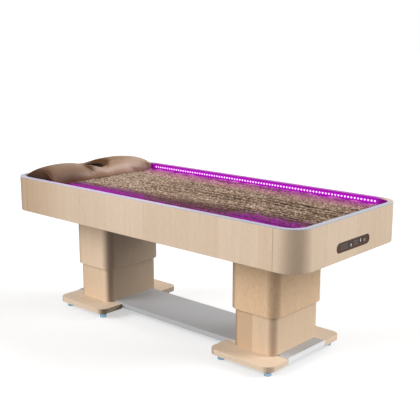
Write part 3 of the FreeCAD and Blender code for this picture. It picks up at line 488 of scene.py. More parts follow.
def veneer(
    name, pale, deep, axis="z", leaf_axis="X", leaf=0.21, figure=0.6, inner=1.0, step=None, warm=None
):
    """Straight-grained veneer. Leaves lie side by side along leaf_axis, each about one leaf wide.
    Figure is the strength of its mottle. Inner is the share of light that painted shade leaves on the
    faces toward the foot. Step is a place along X where a darker leaf ends. The last argument says from
    where toward the head end painted shade makes the near side darker and redder, and how much."""
    finish = Finish(name, Specular_IOR_Level=0.32, Coat_Weight=0.05, Coat_Roughness=0.35)
    leaf_colour, leaf_tone, joint = leaf_pattern(finish, leaf_axis, leaf)
    wood = {**grain_pattern(finish, axis, leaf_colour), "leaf": leaf_tone, "joint": joint}
    x, z = finish.axis("X"), finish.axis("Z")
    shade = sum(wood[layer] * share for layer, share in WOOD_SHARES.items())
    shade = shade + wood["mottle"] * figure - WOOD_LEVEL - figure / 2
    if step is not None:
        shade = shade + x.above(step + EDGE_SOFTNESS, step - EDGE_SOFTNESS) * STEP_DEPTH
    elif leaf_axis == "X":
        ends = x.above(*HEAD_RISE) * HEAD_DEPTH + x.above(*FOOT_RISE) * FOOT_DEPTH
        shade = shade + ends - SIDE_LIFT
    if inner < 1.0 and leaf_axis == "X":
        below = z.above(SLEEVE_EDGE + EDGE_SOFTNESS, SLEEVE_EDGE - EDGE_SOFTNESS)
        shade = shade + below * SLEEVE_DEPTH
    colour = finish.mix(shade.clipped(), pale, deep)
    for part, (strength, keep) in DARK_PARTS.items():
        colour = finish.mix(wood[part] * strength, colour, tuple(c * keep for c in deep))
    finish.feed("Base Color", shaded(finish, colour, inner, warm))
    finish.feed("Roughness", wood["lines"] * 0.12 + wood["pores"] * 0.1 + WOOD_ROUGHNESS)
    finish.bump(wood["lines"] * 0.3 - wood["pores"] * 0.6 - joint * 1.0, WOOD_RELIEF, 0.8)
    return finish.material


FLAT = {"axis": "x", "leaf_axis": "Y"}
VENEER_KINDS = (
    ("side", (232, 210, 188), (202, 175, 146), {"leaf": 0.27, "warm": (-0.20, 0.5)}),
    ("end", (230, 208, 184), (200, 174, 146), {"leaf_axis": "Y", "leaf": 0.24, "warm": (-0.80, 1.0)}),
    ("head", (240, 215, 188), (214, 186, 155), {"leaf": 0.16, "inner": 0.47}),
    ("upper", (240, 208, 172), (206, 171, 133), {"leaf": 0.16, "figure": 1.4}),
    ("lower", (230, 205, 177), (200, 170, 138), {"leaf": 0.2, "step": LEAF_STEP}),
    ("base", (240, 219, 195), (213, 187, 159), FLAT),
    ("base_head", (240, 219, 195), (213, 187, 159), {**FLAT, "inner": 0.42}),
)
veneers = {
    kind: veneer("veneer_" + kind, paint(*pale), paint(*deep), **more)
    for kind, pale, deep, more in VENEER_KINDS
}
print("veneers:", ", ".join(veneers))

# %% [markdown]
# ## Glow of the light strips
# Coloured strips under the rim wash the walls and the sand beside them. Lamps alone would show
# this in a render, but not on a model that leaves it, so most of the glow is painted: a mask
# that is full on the light line and fades with distance from it and past the strips' ends. The
# basin's walls are pale plastic under it, with the strongest colour right beside the strips.

# %% Glow on the walls
WALL_FADE, LINE_FADE, CORE_FADE = (0.10, 0.004), 0.16, 0.020
GLOW_ENDS, CORE_ENDS, LIT_ENDS = 0.16, 0.05, 0.10
PAST_ENDS, WALL_GAIN = 0.3, 2.4
WALL_PALE = paint(214, 206, 222), paint(226, 220, 232)
WALL_DIM = paint(106, 0, 104), paint(124, 0, 118)
WALL_LIT = paint(140, 0, 140), paint(170, 8, 192)
WALL_LIGHT = paint(186, 0, 200)
FOOT_FADE = (LIGHT_END + 0.035, LIGHT_END - 0.005)


def glow_along(finish, fade):
    """1 beside the strips and 0 beyond their ends."""
    x = finish.axis("X")
    return x.above(LIGHT_START - fade, LIGHT_START) * x.above(LIGHT_END + fade, LIGHT_END - fade / 3)


def liner():
    """The walls round the sand: pale plastic with painted magenta glow beside the strips."""
    finish = Finish("liner", Roughness=0.5, Specular_IOR_Level=0.12, Emission_Strength=0.20)
    near_wall = (WALL_Y - finish.axis("Y").size()).above(*WALL_FADE)
    from_line = (finish.axis("Z") - LIGHT_Z).size()
    along = glow_along(finish, GLOW_ENDS) * (1 - PAST_ENDS) + PAST_ENDS
    mask = near_wall * from_line.above(LINE_FADE, 0.0) * along
    core = from_line.above(CORE_FADE, 0.0) * near_wall * glow_along(finish, CORE_ENDS)
    cloud = finish.noise(finish.place(9.0, 9.0, 30.0), detail=2.0)
    beside = finish.axis("X").above(*FOOT_FADE)
    lit = finish.mix(core, *WALL_LIT)
    lit = finish.mix(beside * glow_along(finish, LIT_ENDS), finish.mix(cloud, *WALL_DIM), lit)
    pale = finish.mix(cloud, *WALL_PALE)
    # painted glow on the walls beside the strips, also in the emission
    finish.feed("Base Color", finish.mix((mask * WALL_GAIN).clipped(), pale, lit))
    finish.feed("Emission Color", finish.mix(mask * beside, (0, 0, 0), WALL_LIGHT))
    finish.bump(finish.noise(finish.place(), 240.0), 0.0001, 0.3)
    return finish.material


print("glow runs from", round(LIGHT_START, 3), "to", round(LIGHT_END, 3))

# %% [markdown]
# ## Rim
# The rim is a pale cap of satin plastic all round the tub. It is one colour on the real bed, but painted
# glow lies along its inner edge, most of all on the far side, a painted highlight makes it cooler and
# paler along the near side, and painted beige light lies on the far foot corner. Masks by place give each
# of these.

# %% Rim
RIM_PLAIN, RIM_HIGHLIGHT = paint(170, 172, 183), paint(191, 184, 205)
RIM_LIT, RIM_CORNER_LIGHT = paint(150, 6, 152), paint(198, 172, 142)
RIM_INNER_Y = rim_edge_y - 0.030
RIM_GLOW_NEAR, RIM_GLOW_FAR = 0.006, 0.036
NEAR_TO_FAR, RIM_GLOW_EDGE, RIM_GLOW_ENDS = (-0.3, 0.3), (-0.15, 0.35), 0.06
CORNER_LIGHT_FROM = {"Y": (0.36, 0.43), "X": (0.93, 1.0)}
HIGHLIGHT_FROM = {"Y": (0.0, -0.3), "X": (0.75, 0.1)}
HIGHLIGHT_HEAD = (-1.04, -0.92)


def rim():
    """A pale trim with a painted highlight on the near side and painted beige light at the far foot
    corner. Its inner edge takes up painted glow.
    """
    finish = Finish("rim", Roughness=0.34, Specular_IOR_Level=0.35, Emission_Strength=0.20)
    cloud = finish.noise(finish.place(11.0, 11.0, 11.0), detail=3.0)
    grain = finish.noise(finish.place(), 260.0)
    x, y = finish.axis("X"), finish.axis("Y")
    reach = y.above(*NEAR_TO_FAR) * (RIM_GLOW_FAR - RIM_GLOW_NEAR) + RIM_GLOW_NEAR
    edge = 1.0 - (y.size() - RIM_INNER_Y) / reach
    lit = edge.above(*RIM_GLOW_EDGE) * glow_along(finish, RIM_GLOW_ENDS)
    corner = y.above(*CORNER_LIGHT_FROM["Y"]) * x.above(*CORNER_LIGHT_FROM["X"])
    pale = y.above(*HIGHLIGHT_FROM["Y"]) * x.above(*HIGHLIGHT_FROM["X"]) * x.above(*HIGHLIGHT_HEAD)
    tone = finish.mix(cloud, tuple(c * 0.94 for c in RIM_PLAIN), RIM_PLAIN)
    # painted highlight, painted beige corner light and painted glow over the rim's own colour
    for mask, colour in ((pale, RIM_HIGHLIGHT), (corner, RIM_CORNER_LIGHT), (lit, RIM_LIT)):
        tone = finish.mix(mask, tone, colour)
    finish.feed("Base Color", tone)
    finish.feed("Emission Color", finish.mix(lit, (0, 0, 0), RIM_LIT))
    finish.feed("Roughness", grain * 0.1 + 0.3)
    finish.bump(grain, 0.0001, 0.4)
    return finish.material


print("the rim's inner edge is at y", round(RIM_INNER_Y, 3))

# %% [markdown]
# ## Sand
# Heated sand beds use coarse quartz, and the person's weight and the raking leave furrows along
# the bed. Grains that lie together make clumps of one tone, which is what shows from a step away.
# A million modelled grains would be too heavy to use, so the tones come from cells of three sizes and
# from streaks along the bed, with painted shade in the furrows and painted light on the ridges by height.

# %% Sand tones
SAND_STOPS = (
    (0.0, paint(50, 36, 26)),
    (0.28, paint(97, 76, 60)),
    (0.55, paint(142, 117, 97)),
    (0.80, paint(184, 158, 133)),
    (1.0, paint(226, 209, 191)),
)
SAND_CELLS = {"clumps": 95.0, "grains": 230.0, "specks": 560.0}
SAND_SHARES = {"clumps": 0.28, "grains": 0.30, "specks": 0.30, "streaks": 0.50, "patches": 0.08}
HEAD_PALER, HEAD_SHARE, SAND_DARKNESS = (0.7, -0.8), 0.12, 0.92
SAND_LEVEL = sand_high.z - 0.0005
FURROW_FLOOR, RIDGE_TOP = SAND_LEVEL - 0.0090, SAND_LEVEL + 0.0050
BANK_HEIGHT = 0.0085
BANK_WIDTH = 0.070


def sand_pattern(finish, contrast):
    """How pale the sand is, from 0 to 1, with painted shade and light by height, and the cells and
    streaks that it comes from.
    """
    point = finish.place()
    made = {name: finish.cell_value(point, scale) for name, scale in SAND_CELLS.items()}
    made["streaks"] = finish.noise(finish.place(22.0, 130.0, 1.0), detail=2.0, roughness=0.7)
    made["patches"] = finish.noise(finish.place(5.0, 8.0, 1.0), detail=3.0)
    x, y, z = (finish.axis(letter) for letter in "XYZ")
    bank = y.size().above(sand_high.y - BANK_WIDTH, sand_high.y) * BANK_HEIGHT
    # painted shade in the furrows and painted light on the ridges, by height over the bank
    height_shade = (z - bank).above(FURROW_FLOOR, RIDGE_TOP)
    value = sum(made[layer] * share for layer, share in SAND_SHARES.items())
    value = value + height_shade + x.above(*HEAD_PALER) * HEAD_SHARE - SAND_DARKNESS
    made["value"] = (value - 0.5) * contrast + 0.5
    return made


print("sand has", len(SAND_STOPS), "tones")

# %% [markdown]
# The strips' light on the sand beside them is painted glow. From the camera's side the near strip is
# hidden by the rim, and its painted glow ends in a grainy edge that lies further out toward the foot and
# is weak in one stretch, with painted shade round it. The far strip leaves a painted narrow bright line
# and a wider painted pink glow.

# %% Glow on the sand
GLOW_REACH, GLOW_GROWTH, GLOW_FULL = 0.30, 0.075, 0.16
GLOW_DIP, DIP_WIDTHS, DIP_STRENGTH = 0.17, (0.42, 0.22), 0.75
FAR_GLOW_REACH, BLUSH_REACH = 0.15, (0.18, 0.05)
GLOW_GRAIN, GLOW_LEVEL = {"clumps": 0.95, "grains": 0.55, "streaks": 0.8}, 1.15
SAND_ENDS, DIM_SHARE, BLUSH_SHARE = 0.12, 0.85, 0.42
SHADE_TONE, PINK_GLOW_TONE = paint(84, 46, 50), paint(200, 122, 152)
GLOW_DARK, GLOW_BRIGHT = paint(66, 14, 56), paint(160, 26, 156)
GLOW_LIGHT_DARK, GLOW_LIGHT_BRIGHT = paint(56, 0, 62), paint(150, 0, 160)


def sand_glow(finish, sand):
    """Masks from 0 to 1 of painted light and shade: glowing grains, painted shade on the sand beside
    them, and the far painted pink glow.
    """
    x, y = finish.axis("X"), finish.axis("Y")
    beside = glow_along(finish, SAND_ENDS)
    spread = sum(sand[layer] * share for layer, share in GLOW_GRAIN.items()) - GLOW_LEVEL
    reach = (x + 0.8).clipped() * GLOW_GROWTH + GLOW_REACH
    near = ((reach - (y + WALL_Y)) / (reach - GLOW_FULL)).clipped()
    far = (WALL_Y - y).above(FAR_GLOW_REACH, 0.0)
    dip = (x - GLOW_DIP).size().above(*DIP_WIDTHS)
    lit = (near * 1.7 + spread - dip * DIP_STRENGTH - 0.6).clipped() * near.above(0.0, 0.2)
    lit = lit + (far * 0.9 + spread * 0.35 - 0.4).clipped() * far
    dim = (near * 1.6).clipped() * beside * DIM_SHARE
    pink_glow = (WALL_Y - y).above(*BLUSH_REACH) * beside
    return (lit * beside).clipped(), dim, pink_glow * BLUSH_SHARE


def sand_finish(name, contrast=1.0):
    """Tones by cell, painted shade and light by height, and painted glow and shade on whatever lies
    beside a light strip.
    """
    finish = Finish(name, Roughness=0.85, Specular_IOR_Level=0.2, Emission_Strength=0.30)
    sand = sand_pattern(finish, contrast)
    value = sand["value"].clipped()
    lit, dim, pink_glow = sand_glow(finish, sand)
    # painted shade on the sand beside the near strip, then the far painted pink glow
    colour = finish.mix(dim, finish.ramp(value, *SAND_STOPS), SHADE_TONE)
    colour = finish.mix(pink_glow, colour, PINK_GLOW_TONE)
    tone = finish.mix((sand["value"] * 1.1).clipped(), GLOW_DARK, GLOW_BRIGHT)
    light = finish.mix(value, GLOW_LIGHT_DARK, GLOW_LIGHT_BRIGHT)
    # painted glow on the lit grains
    finish.feed("Base Color", finish.mix(lit, colour, tone))
    finish.feed("Emission Color", finish.mix(lit, (0, 0, 0), light))
    point = finish.place()
    clump_tops, grain_tops = (finish.cells(point, SAND_CELLS[size]) for size in ("clumps", "grains"))
    finish.bump(grain_tops * -0.6 + clump_tops * -1.0 + sand["specks"] * 0.1, 0.006, 0.8)
    return finish.material


sand_material = sand_finish("sand")
print("glow on the sand reaches", GLOW_REACH, "m from the near wall at the head end")

# %% [markdown]
# ## Leatherette
# The cushion has a soft brown leatherette with a fine pebbled grain. Its pale sheen is the white
# room in the skin's smooth top layer. The photograph has none of it on the near slopes and ends
# and inside the face hole, so the sheen is a coat over a dull base, and masks take it off there.
# The same masks deepen the colour as painted shade, with more painted shade round the hole and on the
# crest, and a painted sheen makes the far end paler.

# %% Leatherette masks
DARK_CENTRE = MOUTH_CENTRE + Vector((-0.004, 0.005))
HOLE_EDGE, DENT_EDGE = (1.09, 0.99), (1.7, 1.05)
LOW_FROM = (pad_low.z + 0.110, pad_low.z + 0.04)
NEAR_FROM, FAR_FROM = (0.08, -0.24), (0.18, 0.41)
TURNED_FROM, CREST_FROM, CREST_SIDE = (0.12, -0.42), (0.80, 0.97), (-0.10, 0.08)


def leather_masks(finish):
    """Masks from 0 to 1 by name, for the parts of the cushion that the photograph shows apart."""
    x, y, z = (finish.axis(letter) for letter in "XYZ")
    over_x, over_y = (x - DARK_CENTRE.x) / MOUTH_RADII[0], (y - DARK_CENTRE.y) / MOUTH_RADII[1]
    reach = (over_x * over_x + over_y * over_y).math("SQRT")
    low = z.above(*LOW_FROM)
    return {
        "hole": reach.above(*HOLE_EDGE),
        "dent": reach.above(*DENT_EDGE) * 0.4,
        "near": y.above(*NEAR_FROM) * (low * 0.52 + 0.46),
        "turned": finish.facing("Y").above(*TURNED_FROM),
        "crest": finish.facing("Z").above(*CREST_FROM) * y.above(*CREST_SIDE),
        "far": y.above(*FAR_FROM) * (low * 0.35 + 0.24),
    }


print("the hole is darkest round", [round(c, 3) for c in DARK_CENTRE])

# %% [markdown]
# The skin itself is small round pebbles with creases between them, both from noise, since the
# grain is far too fine for a mesh.

# %% Leatherette
CREST_SHADE, FAR_SHEEN_TONE = (0.62, 0.56, 0.50), paint(222, 200, 183)
PART_SHADES = {
    "dent": (0.50, 0.44, 0.40),
    "near": (0.22, 0.15, 0.10),
    "turned": (0.32, 0.24, 0.18),
    "hole": (0.10, 0.05, 0.03),
}
SHEEN, SHEEN_LOSS = 0.9, {"near": 0.7, "turned": 1.0, "hole": 1.0, "crest": 0.5}
PEBBLE_SCALE, SKIN_ROUGHNESS, SKIN_RELIEF = 620.0, 0.5, 0.0012


def leather(name, pale, deep):
    """Leatherette. Its sheen is a coat that is missing on the near slopes and inside the hole."""
    finish = Finish(name, Specular_IOR_Level=0.06, Coat_Roughness=0.42, Coat_IOR=1.5)
    masks = leather_masks(finish)
    pebbles = finish.cells(finish.place(), PEBBLE_SCALE)
    creases = finish.noise(finish.place(30.0, 18.0, 30.0), detail=4.0, roughness=0.6)
    mottle = finish.noise(finish.place(7.0, 5.0, 7.0), detail=3.0)
    colour = finish.mix((mottle * 0.8 + creases * 0.3).clipped(), deep, pale)
    colour = finish.mix((pebbles * 0.4).clipped(), colour, tuple(c * 0.7 for c in deep))
    # painted shade on the crest and a painted sheen at the far end
    colour = finish.mix(masks["crest"] * 0.6, colour, CREST_SHADE, "MULTIPLY")
    colour = finish.mix(masks["far"], colour, FAR_SHEEN_TONE)
    # painted shade round and inside the hole, on the near slopes and on faces turned toward the near side
    for part, shade in PART_SHADES.items():
        colour = finish.mix(masks[part], colour, shade, "MULTIPLY")
    finish.feed("Base Color", colour)
    lost = sum(masks[part] * share for part, share in SHEEN_LOSS.items())
    finish.feed("Coat Weight", (SHEEN - lost).clipped())
    finish.feed("Roughness", pebbles * 0.12 + mottle * 0.10 + SKIN_ROUGHNESS)
    finish.bump(pebbles * -0.35 + creases * 0.5, SKIN_RELIEF, 0.45)
    return finish.material


cushion_leather = leather("cushion_leather", paint(179, 148, 119), paint(154, 123, 96))
print("leatherette sheen", SHEEN, "where no mask takes it off")

# %% [markdown]
# ## Plastics and metals
# The remaining finishes differ in colour, gloss and grain only. Each could be a shader of its own,
# but one function makes them all from a few numbers: soft cloudiness in the colour, a grain in the
# roughness and a fine relief. Brushed metals draw that grain out along one axis.

# %% Plain finishes
FINE_GRAIN, DRAWN = (400.0,) * 3, (90.0, 90.0, 4.0)
DULL, METAL = {"Specular_IOR_Level": 0.15}, {"metallic": 1.0}


def moulded(name, colour, roughness, scales=FINE_GRAIN, metallic=0.0, relief=0.0001, spread=0.08, **more):
    """A plastic or a metal. Spread is how far its clouds stray from the colour."""
    finish = Finish(name, Metallic=metallic, **more)
    grain = finish.noise(finish.place(*scales), detail=3.0)
    cloud = finish.noise(finish.place(11.0, 11.0, 11.0), detail=3.0)
    darker = tuple(c * (1 - 2 * spread) for c in colour)
    lighter = tuple(min(c * (1 + spread), 1.0) for c in colour)
    finish.feed("Base Color", finish.mix((cloud * 0.7 + grain * 0.3).clipped(), darker, lighter))
    finish.feed("Roughness", grain * 0.14 + cloud * 0.06 + (roughness - 0.1))
    finish.bump(grain, relief, 0.5)
    return finish.material


PLAIN_KINDS = {
    "board": ((150, 120, 88), 0.7, {"scales": (60.0, 300.0, 300.0)}),
    "fascia": ((76, 52, 42), 0.5, {"spread": 0.18, **DULL}),
    "housing": ((38, 36, 36), 0.55, {}),
    "window": ((80, 69, 62), 0.4, {"spread": 0.05, **DULL}),
    "key": ((70, 48, 38), 0.5, {"scales": (700.0,) * 3, **DULL}),
    "circuit": ((22, 92, 52), 0.35, {"scales": (90.0,) * 3, "spread": 0.2}),
    "unit": ((44, 45, 48), 0.5, {}),
    "inlet": ((40, 40, 42), 0.5, {}),
    "insulation": ((222, 214, 190), 0.9, {"scales": (180.0,) * 3, "relief": 0.0006}),
    "heater": ((150, 66, 44), 0.6, {"scales": (30.0, 500.0, 30.0), "relief": 0.0004}),
    "frame_steel": ((58, 60, 63), 0.5, {"scales": (500.0,) * 3, "spread": 0.12}),
    "column_metal": ((200, 203, 206), 0.36, {"scales": DRAWN, **METAL}),
    "glide": ((226, 223, 212), 0.55, {}),
    "motor": ((64, 66, 70), 0.45, {"scales": (350.0,) * 3, "metallic": 0.3}),
    "spindle": ((176, 179, 183), 0.3, {"scales": (20.0, 20.0, 900.0), "relief": 0.0005, **METAL}),
    "nut": ((196, 160, 92), 0.32, {"scales": (60.0, 60.0, 700.0), **METAL}),
    "fastener": ((186, 188, 192), 0.38, METAL),
    "spine_paint": ((178, 179, 181), 0.55, {"scales": (600.0,) * 3, "spread": 0.03}),
    "spine_cap": ((236, 237, 239), 0.5, {"spread": 0.03}),
    "foot_chrome": ((150, 178, 196), 0.16, {"scales": (40.0,) * 3, "spread": 0.1, **METAL}),
}
plain = {
    kind: moulded(kind, paint(*colour), roughness, **more)
    for kind, (colour, roughness, more) in PLAIN_KINDS.items()
}
print(len(plain), "plain finishes")

# %% [markdown]
# Each strip is a coloured diffuser with a row of small pale chips. A lamp per chip would be slow to
# render and hard to see. Both glow as finishes instead, and the strip is nearly white in a small
# halo round the place of each chip, which reads as single lights from a distance.

# %% Lit plastics
CHIP_COUNT, CHIP_LENGTH = 81, 0.005
CHIP_PITCH = (chip_high.x - chip_low.x - CHIP_LENGTH) / (CHIP_COUNT - 1)
CHIP_HALO, HALO_CORE = 0.0062, 0.45
CHIP_WHITE, CHIP_LIGHT = paint(250, 225, 255), (1.9, 1.3, 2.1)


def glowing(name, colour, light, strength, halo=False):
    """A lit plastic. With a halo it is brighter round the place of each chip of the row."""
    finish = Finish(name, Roughness=0.4, Emission_Strength=strength)
    grain = finish.noise(finish.place(), 900.0)
    base = finish.mix(grain, tuple(c * 0.9 for c in colour), colour)
    shine = finish.mix(grain * 0.3, light, tuple(c * 0.8 for c in light))
    if halo:
        turn = (finish.axis("X") - (chip_low.x + CHIP_LENGTH / 2)) / CHIP_PITCH + 0.5
        along = (turn.math("FRACT") - 0.5) * CHIP_PITCH
        above = finish.axis("Z") - LIGHT_Z
        reach = (along * along + above * above).math("SQRT")
        ring = reach.above(CHIP_HALO, CHIP_HALO * HALO_CORE)
        base = finish.mix(ring, base, CHIP_WHITE)
        shine = finish.mix(ring, shine, CHIP_LIGHT)
    finish.feed("Base Color", base)
    finish.feed("Emission Color", shine)
    return finish.material


plain["light_strip"] = glowing("light_strip", paint(160, 4, 180), paint(180, 0, 205), 0.30, True)
plain["light_chip"] = glowing("light_chip", CHIP_WHITE, paint(255, 205, 255), 1.3)
print("chips stand", round(CHIP_PITCH * 1000, 2), "mm apart")

# %% [markdown]
# ## Giving every node its finish
# The record names a material slot for each node. The veneered nodes take a veneer of their own
# kind, and all others take the finish of their slot. Doing it by name would need sixty lines, and
# the slots already say what each node is made of.

# %% Assign
plain["rim"] = rim()
plain["liner"] = liner()
plain["sand"] = sand_material
plain["cushion_cover"] = cushion_leather
VENEERED = (
    ("side_panel", "side"),
    ("end_panel", "end"),
    ("upper_sleeve_head", "head"),
    ("upper_sleeve_foot", "upper"),
    ("lower_sleeve_head", "head"),
    ("lower_sleeve_foot", "lower"),
    ("wing_head", "base_head"),
    ("wing_foot", "base"),
)


def finish_of(node, slot):
    """The material of one node, by the start of its name or by its slot."""
    for start, kind in VENEERED:
        if node.startswith(start):
            return veneers[kind]
    return plain[slot]


for part in frame["record"]["subparts"]:
    piece = nodes[part["node"]]
    material = finish_of(part["node"], part["material_slot"])
    if not piece.material_slots:
        piece.data.materials.append(material)
    for place in piece.material_slots:
        place.material = material

# %% [markdown]
# ## Smooth bends on the CAD pieces
# The CAD meshes are made of flat facets. A small modifier shades them smooth wherever two facets
# meet at a shallow angle and keeps real edges sharp. Finer facets would only make the model
# heavier. The modifier leaves every point where it is.

# %% Smooth bends
SHARP_ANGLE = math.radians(32)
WELD_DISTANCE = 0.00001


def smoothing_group():
    """Nodes that shade every face smooth and keep the edges that turn far."""
    group = bpy.data.node_groups.new("smooth_bends", "GeometryNodeTree")
    group.interface.new_socket("Mesh", in_out="INPUT", socket_type="NodeSocketGeometry")
    group.interface.new_socket("Mesh", in_out="OUTPUT", socket_type="NodeSocketGeometry")
    made = {
        name: group.nodes.new(kind)
        for name, kind in {
            "start": "NodeGroupInput",
            "weld": "GeometryNodeMergeByDistance",
            "faces": "GeometryNodeSetShadeSmooth",
            "edges": "GeometryNodeSetShadeSmooth",
            "angle": "GeometryNodeInputMeshEdgeAngle",
            "shallow": "FunctionNodeCompare",
            "end": "NodeGroupOutput",
        }.items()
    }
    made["faces"].domain, made["edges"].domain = "FACE", "EDGE"
    made["weld"].inputs["Distance"].default_value = WELD_DISTANCE
    made["shallow"].operation = "LESS_THAN"
    made["shallow"].inputs["B"].default_value = SHARP_ANGLE
    links = (
        (made["start"].outputs[0], made["weld"].inputs["Geometry"]),
        (made["weld"].outputs["Geometry"], made["faces"].inputs["Geometry"]),
        (made["faces"].outputs["Geometry"], made["edges"].inputs["Geometry"]),
        (made["angle"].outputs["Unsigned Angle"], made["shallow"].inputs["A"]),
        (made["shallow"].outputs["Result"], made["edges"].inputs["Shade Smooth"]),
        (made["edges"].outputs["Geometry"], made["end"].inputs[0]),
    )
    for start, end in links:
        group.links.new(start, end)
    return group


bends = smoothing_group()
for piece in nodes.values():
    piece.modifiers.new("smooth_bends", "NODES").node_group = bends
print("bends smoothed below", round(math.degrees(SHARP_ANGLE)), "degrees")

# %% [markdown]
# ## Making pieces
# Every new piece is a mesh in the CAD frame that rides on one body and carries its finish. One helper
# does all of that, so that no piece can miss a part of it.

# %% Piece helpers
def make_piece(name, points, faces, body, material, smooth=True):
    """A named piece of the model from its points and faces."""
    mesh = bpy.data.meshes.new(name)
    mesh.from_pydata(points, [], faces)
    mesh.validate()
    piece = add_object(name, mesh)
    mesh.materials.append(material)
    mesh.polygons.foreach_set("use_smooth", [smooth] * len(mesh.polygons))
    mesh.update()
    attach(piece, body)
    return piece


def final_mesh(piece):
    """A copy of the piece's mesh with its modifiers worked in."""
    graph = bpy.context.evaluated_depsgraph_get()
    return bpy.data.meshes.new_from_object(piece.evaluated_get(graph))


def smooth_rise(value, start, full):
    """0 below start, 1 past full, with a smooth rise between them."""
    share = min(max((value - start) / (full - start), 0.0), 1.0)
    return share * share * (3 - 2 * share)


# %% [markdown]
# ## The sand bed
# The bed is a closed mesh that fills the basin as its CAD solid does, but its top is a fine grid
# raised by noise: long furrows along the bed that grow towards the foot, soft lumps where a hand
# has smoothed the sand, and a relief of single clumps. Relief in the finish alone would look flat
# from this low camera, since real furrows hide a part of their own far side.

# %% Height of the sand
FURROW_SPACING = 0.043
FURROW_WIDTH = 0.0072
FURROW_DEPTH = 0.0120
FURROW_WANDER, FURROW_WOBBLE = 1.1, 0.25
FURROW_FADE, FURROW_GROWTH = (-0.22, 0.25), (-0.55, 0.3)
FURROW_LEAST = 0.15
LUMP_HEIGHT = 0.0018
CLUMP_HEIGHT = 0.0062


def ripple(x, y, x_scale, y_scale, layer):
    """Smooth noise at one place, about -1 to 1. Each layer is a pattern of its own."""
    return noise.noise(Vector((x * x_scale, y * y_scale, layer)))


def furrow_depth(x, y):
    """Depth of the combed lines: each wanders a little, and comes and goes along the bed."""
    phase = y / FURROW_SPACING + FURROW_WANDER * ripple(x, y, 1.2, 4.0, 1.7)
    phase += FURROW_WOBBLE * ripple(x, y, 7.0, 9.0, 3.1)
    number = math.floor(phase)
    from_line = (phase - number - 0.5) * FURROW_SPACING
    strength = smooth_rise(ripple(x, number, 2.4, 3.7, 5.1), *FURROW_FADE)
    combed = FURROW_LEAST + (1 - FURROW_LEAST) * smooth_rise(x, *FURROW_GROWTH)
    return FURROW_DEPTH * strength * combed * math.exp(-((from_line / FURROW_WIDTH) ** 2))


def sand_height(x, y):
    """Height of the sand at one place: combed furrows, lumps, clumps, and a bank by the walls."""
    lump = ripple(x, y, 14.0, 21.0, 4.1)
    clump = ripple(x, y, 72.0, 72.0, 7.9) + 0.5 * ripple(x, y, 165.0, 165.0, 2.2)
    bank = smooth_rise(abs(y), sand_high.y - BANK_WIDTH, sand_high.y)
    height = LUMP_HEIGHT * lump + CLUMP_HEIGHT * clump + BANK_HEIGHT * bank * (1 + lump)
    return SAND_LEVEL + height - furrow_depth(x, y)


print("sand is", round(sand_height(0.5, 0.0), 4), "m high in the middle of the foot half")

# %% [markdown]
# The grid keeps its columns evenly spread in each row, and each row is shortened where the basin's
# corners are round. A skirt goes down from its border to the basin's floor and closes the mesh.

# %% Sand surface
SAND_CELL = 0.0043
SAND_CORNER = 0.0847


def sand_end(y):
    """Where the bed ends toward the foot at one y, along the basin's round corners."""
    into = max(abs(y) - (sand_high.y - SAND_CORNER), 0.0)
    return sand_high.x - SAND_CORNER + math.sqrt(max(SAND_CORNER**2 - into**2, 0.0))


def sand_piece():
    """The whole bed of sand as one closed piece."""
    columns = round((sand_high.x - sand_low.x) / SAND_CELL)
    rows = round((sand_high.y - sand_low.y) / SAND_CELL)
    points = []
    for j in range(rows + 1):
        y = sand_low.y + (sand_high.y - sand_low.y) * j / rows
        end = sand_end(y)
        for i in range(columns + 1):
            x = sand_low.x + (end - sand_low.x) * i / columns
            points.append((x, y, sand_height(x, y)))
    wide = columns + 1
    faces = [
        (k, k + 1, k + 1 + wide, k + wide)
        for k in (j * wide + i for j in range(rows) for i in range(columns))
    ]
    border = list(range(wide))
    border += [j * wide + columns for j in range(1, rows + 1)]
    border += [rows * wide + i for i in range(columns - 1, -1, -1)]
    border += [j * wide for j in range(rows - 1, 0, -1)]
    start = len(points)
    points += [(points[k][0], points[k][1], sand_low.z) for k in border]
    count = len(border)
    for k in range(count):
        after = (k + 1) % count
        faces.append((border[after], border[k], start + k, start + after))
    faces.append(tuple(range(start + count - 1, start - 1, -1)))
    return make_piece("sand_surface", points, faces, "tub", sand_material)


sand = sand_piece()
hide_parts("sand_bed")
print("sand surface has", len(sand.data.polygons), "faces")

# %% [markdown]
# Loose grains lie on the surface. Each is a twenty-sided pebble with its own size, squash and turn.
# Instances would be lighter, but one joined mesh stays one named piece when the model leaves the
# scene. The seed of the random numbers is fixed, so that the grains are the same in every run.

# %% Loose grains
GRAIN_COUNT = 5200
GRAIN_RADII = (0.0015, 0.0040)
GRAIN_SIZES = (1.6, 3.0)
GRAIN_SQUASH = (0.55, 1.0)
GRAIN_LIFT = (0.0, 0.55)
GRAIN_CONTRAST = 1.25
GRAIN_SEED = 11


def pebble():
    """The points and faces of a twenty-sided pebble of radius 1."""
    form = bmesh.new()
    bmesh.ops.create_icosphere(form, subdivisions=1, radius=1.0)
    points = np.array([v.co for v in form.verts])
    faces = np.array([[v.index for v in f.verts] for f in form.faces])
    form.free()
    return points, faces


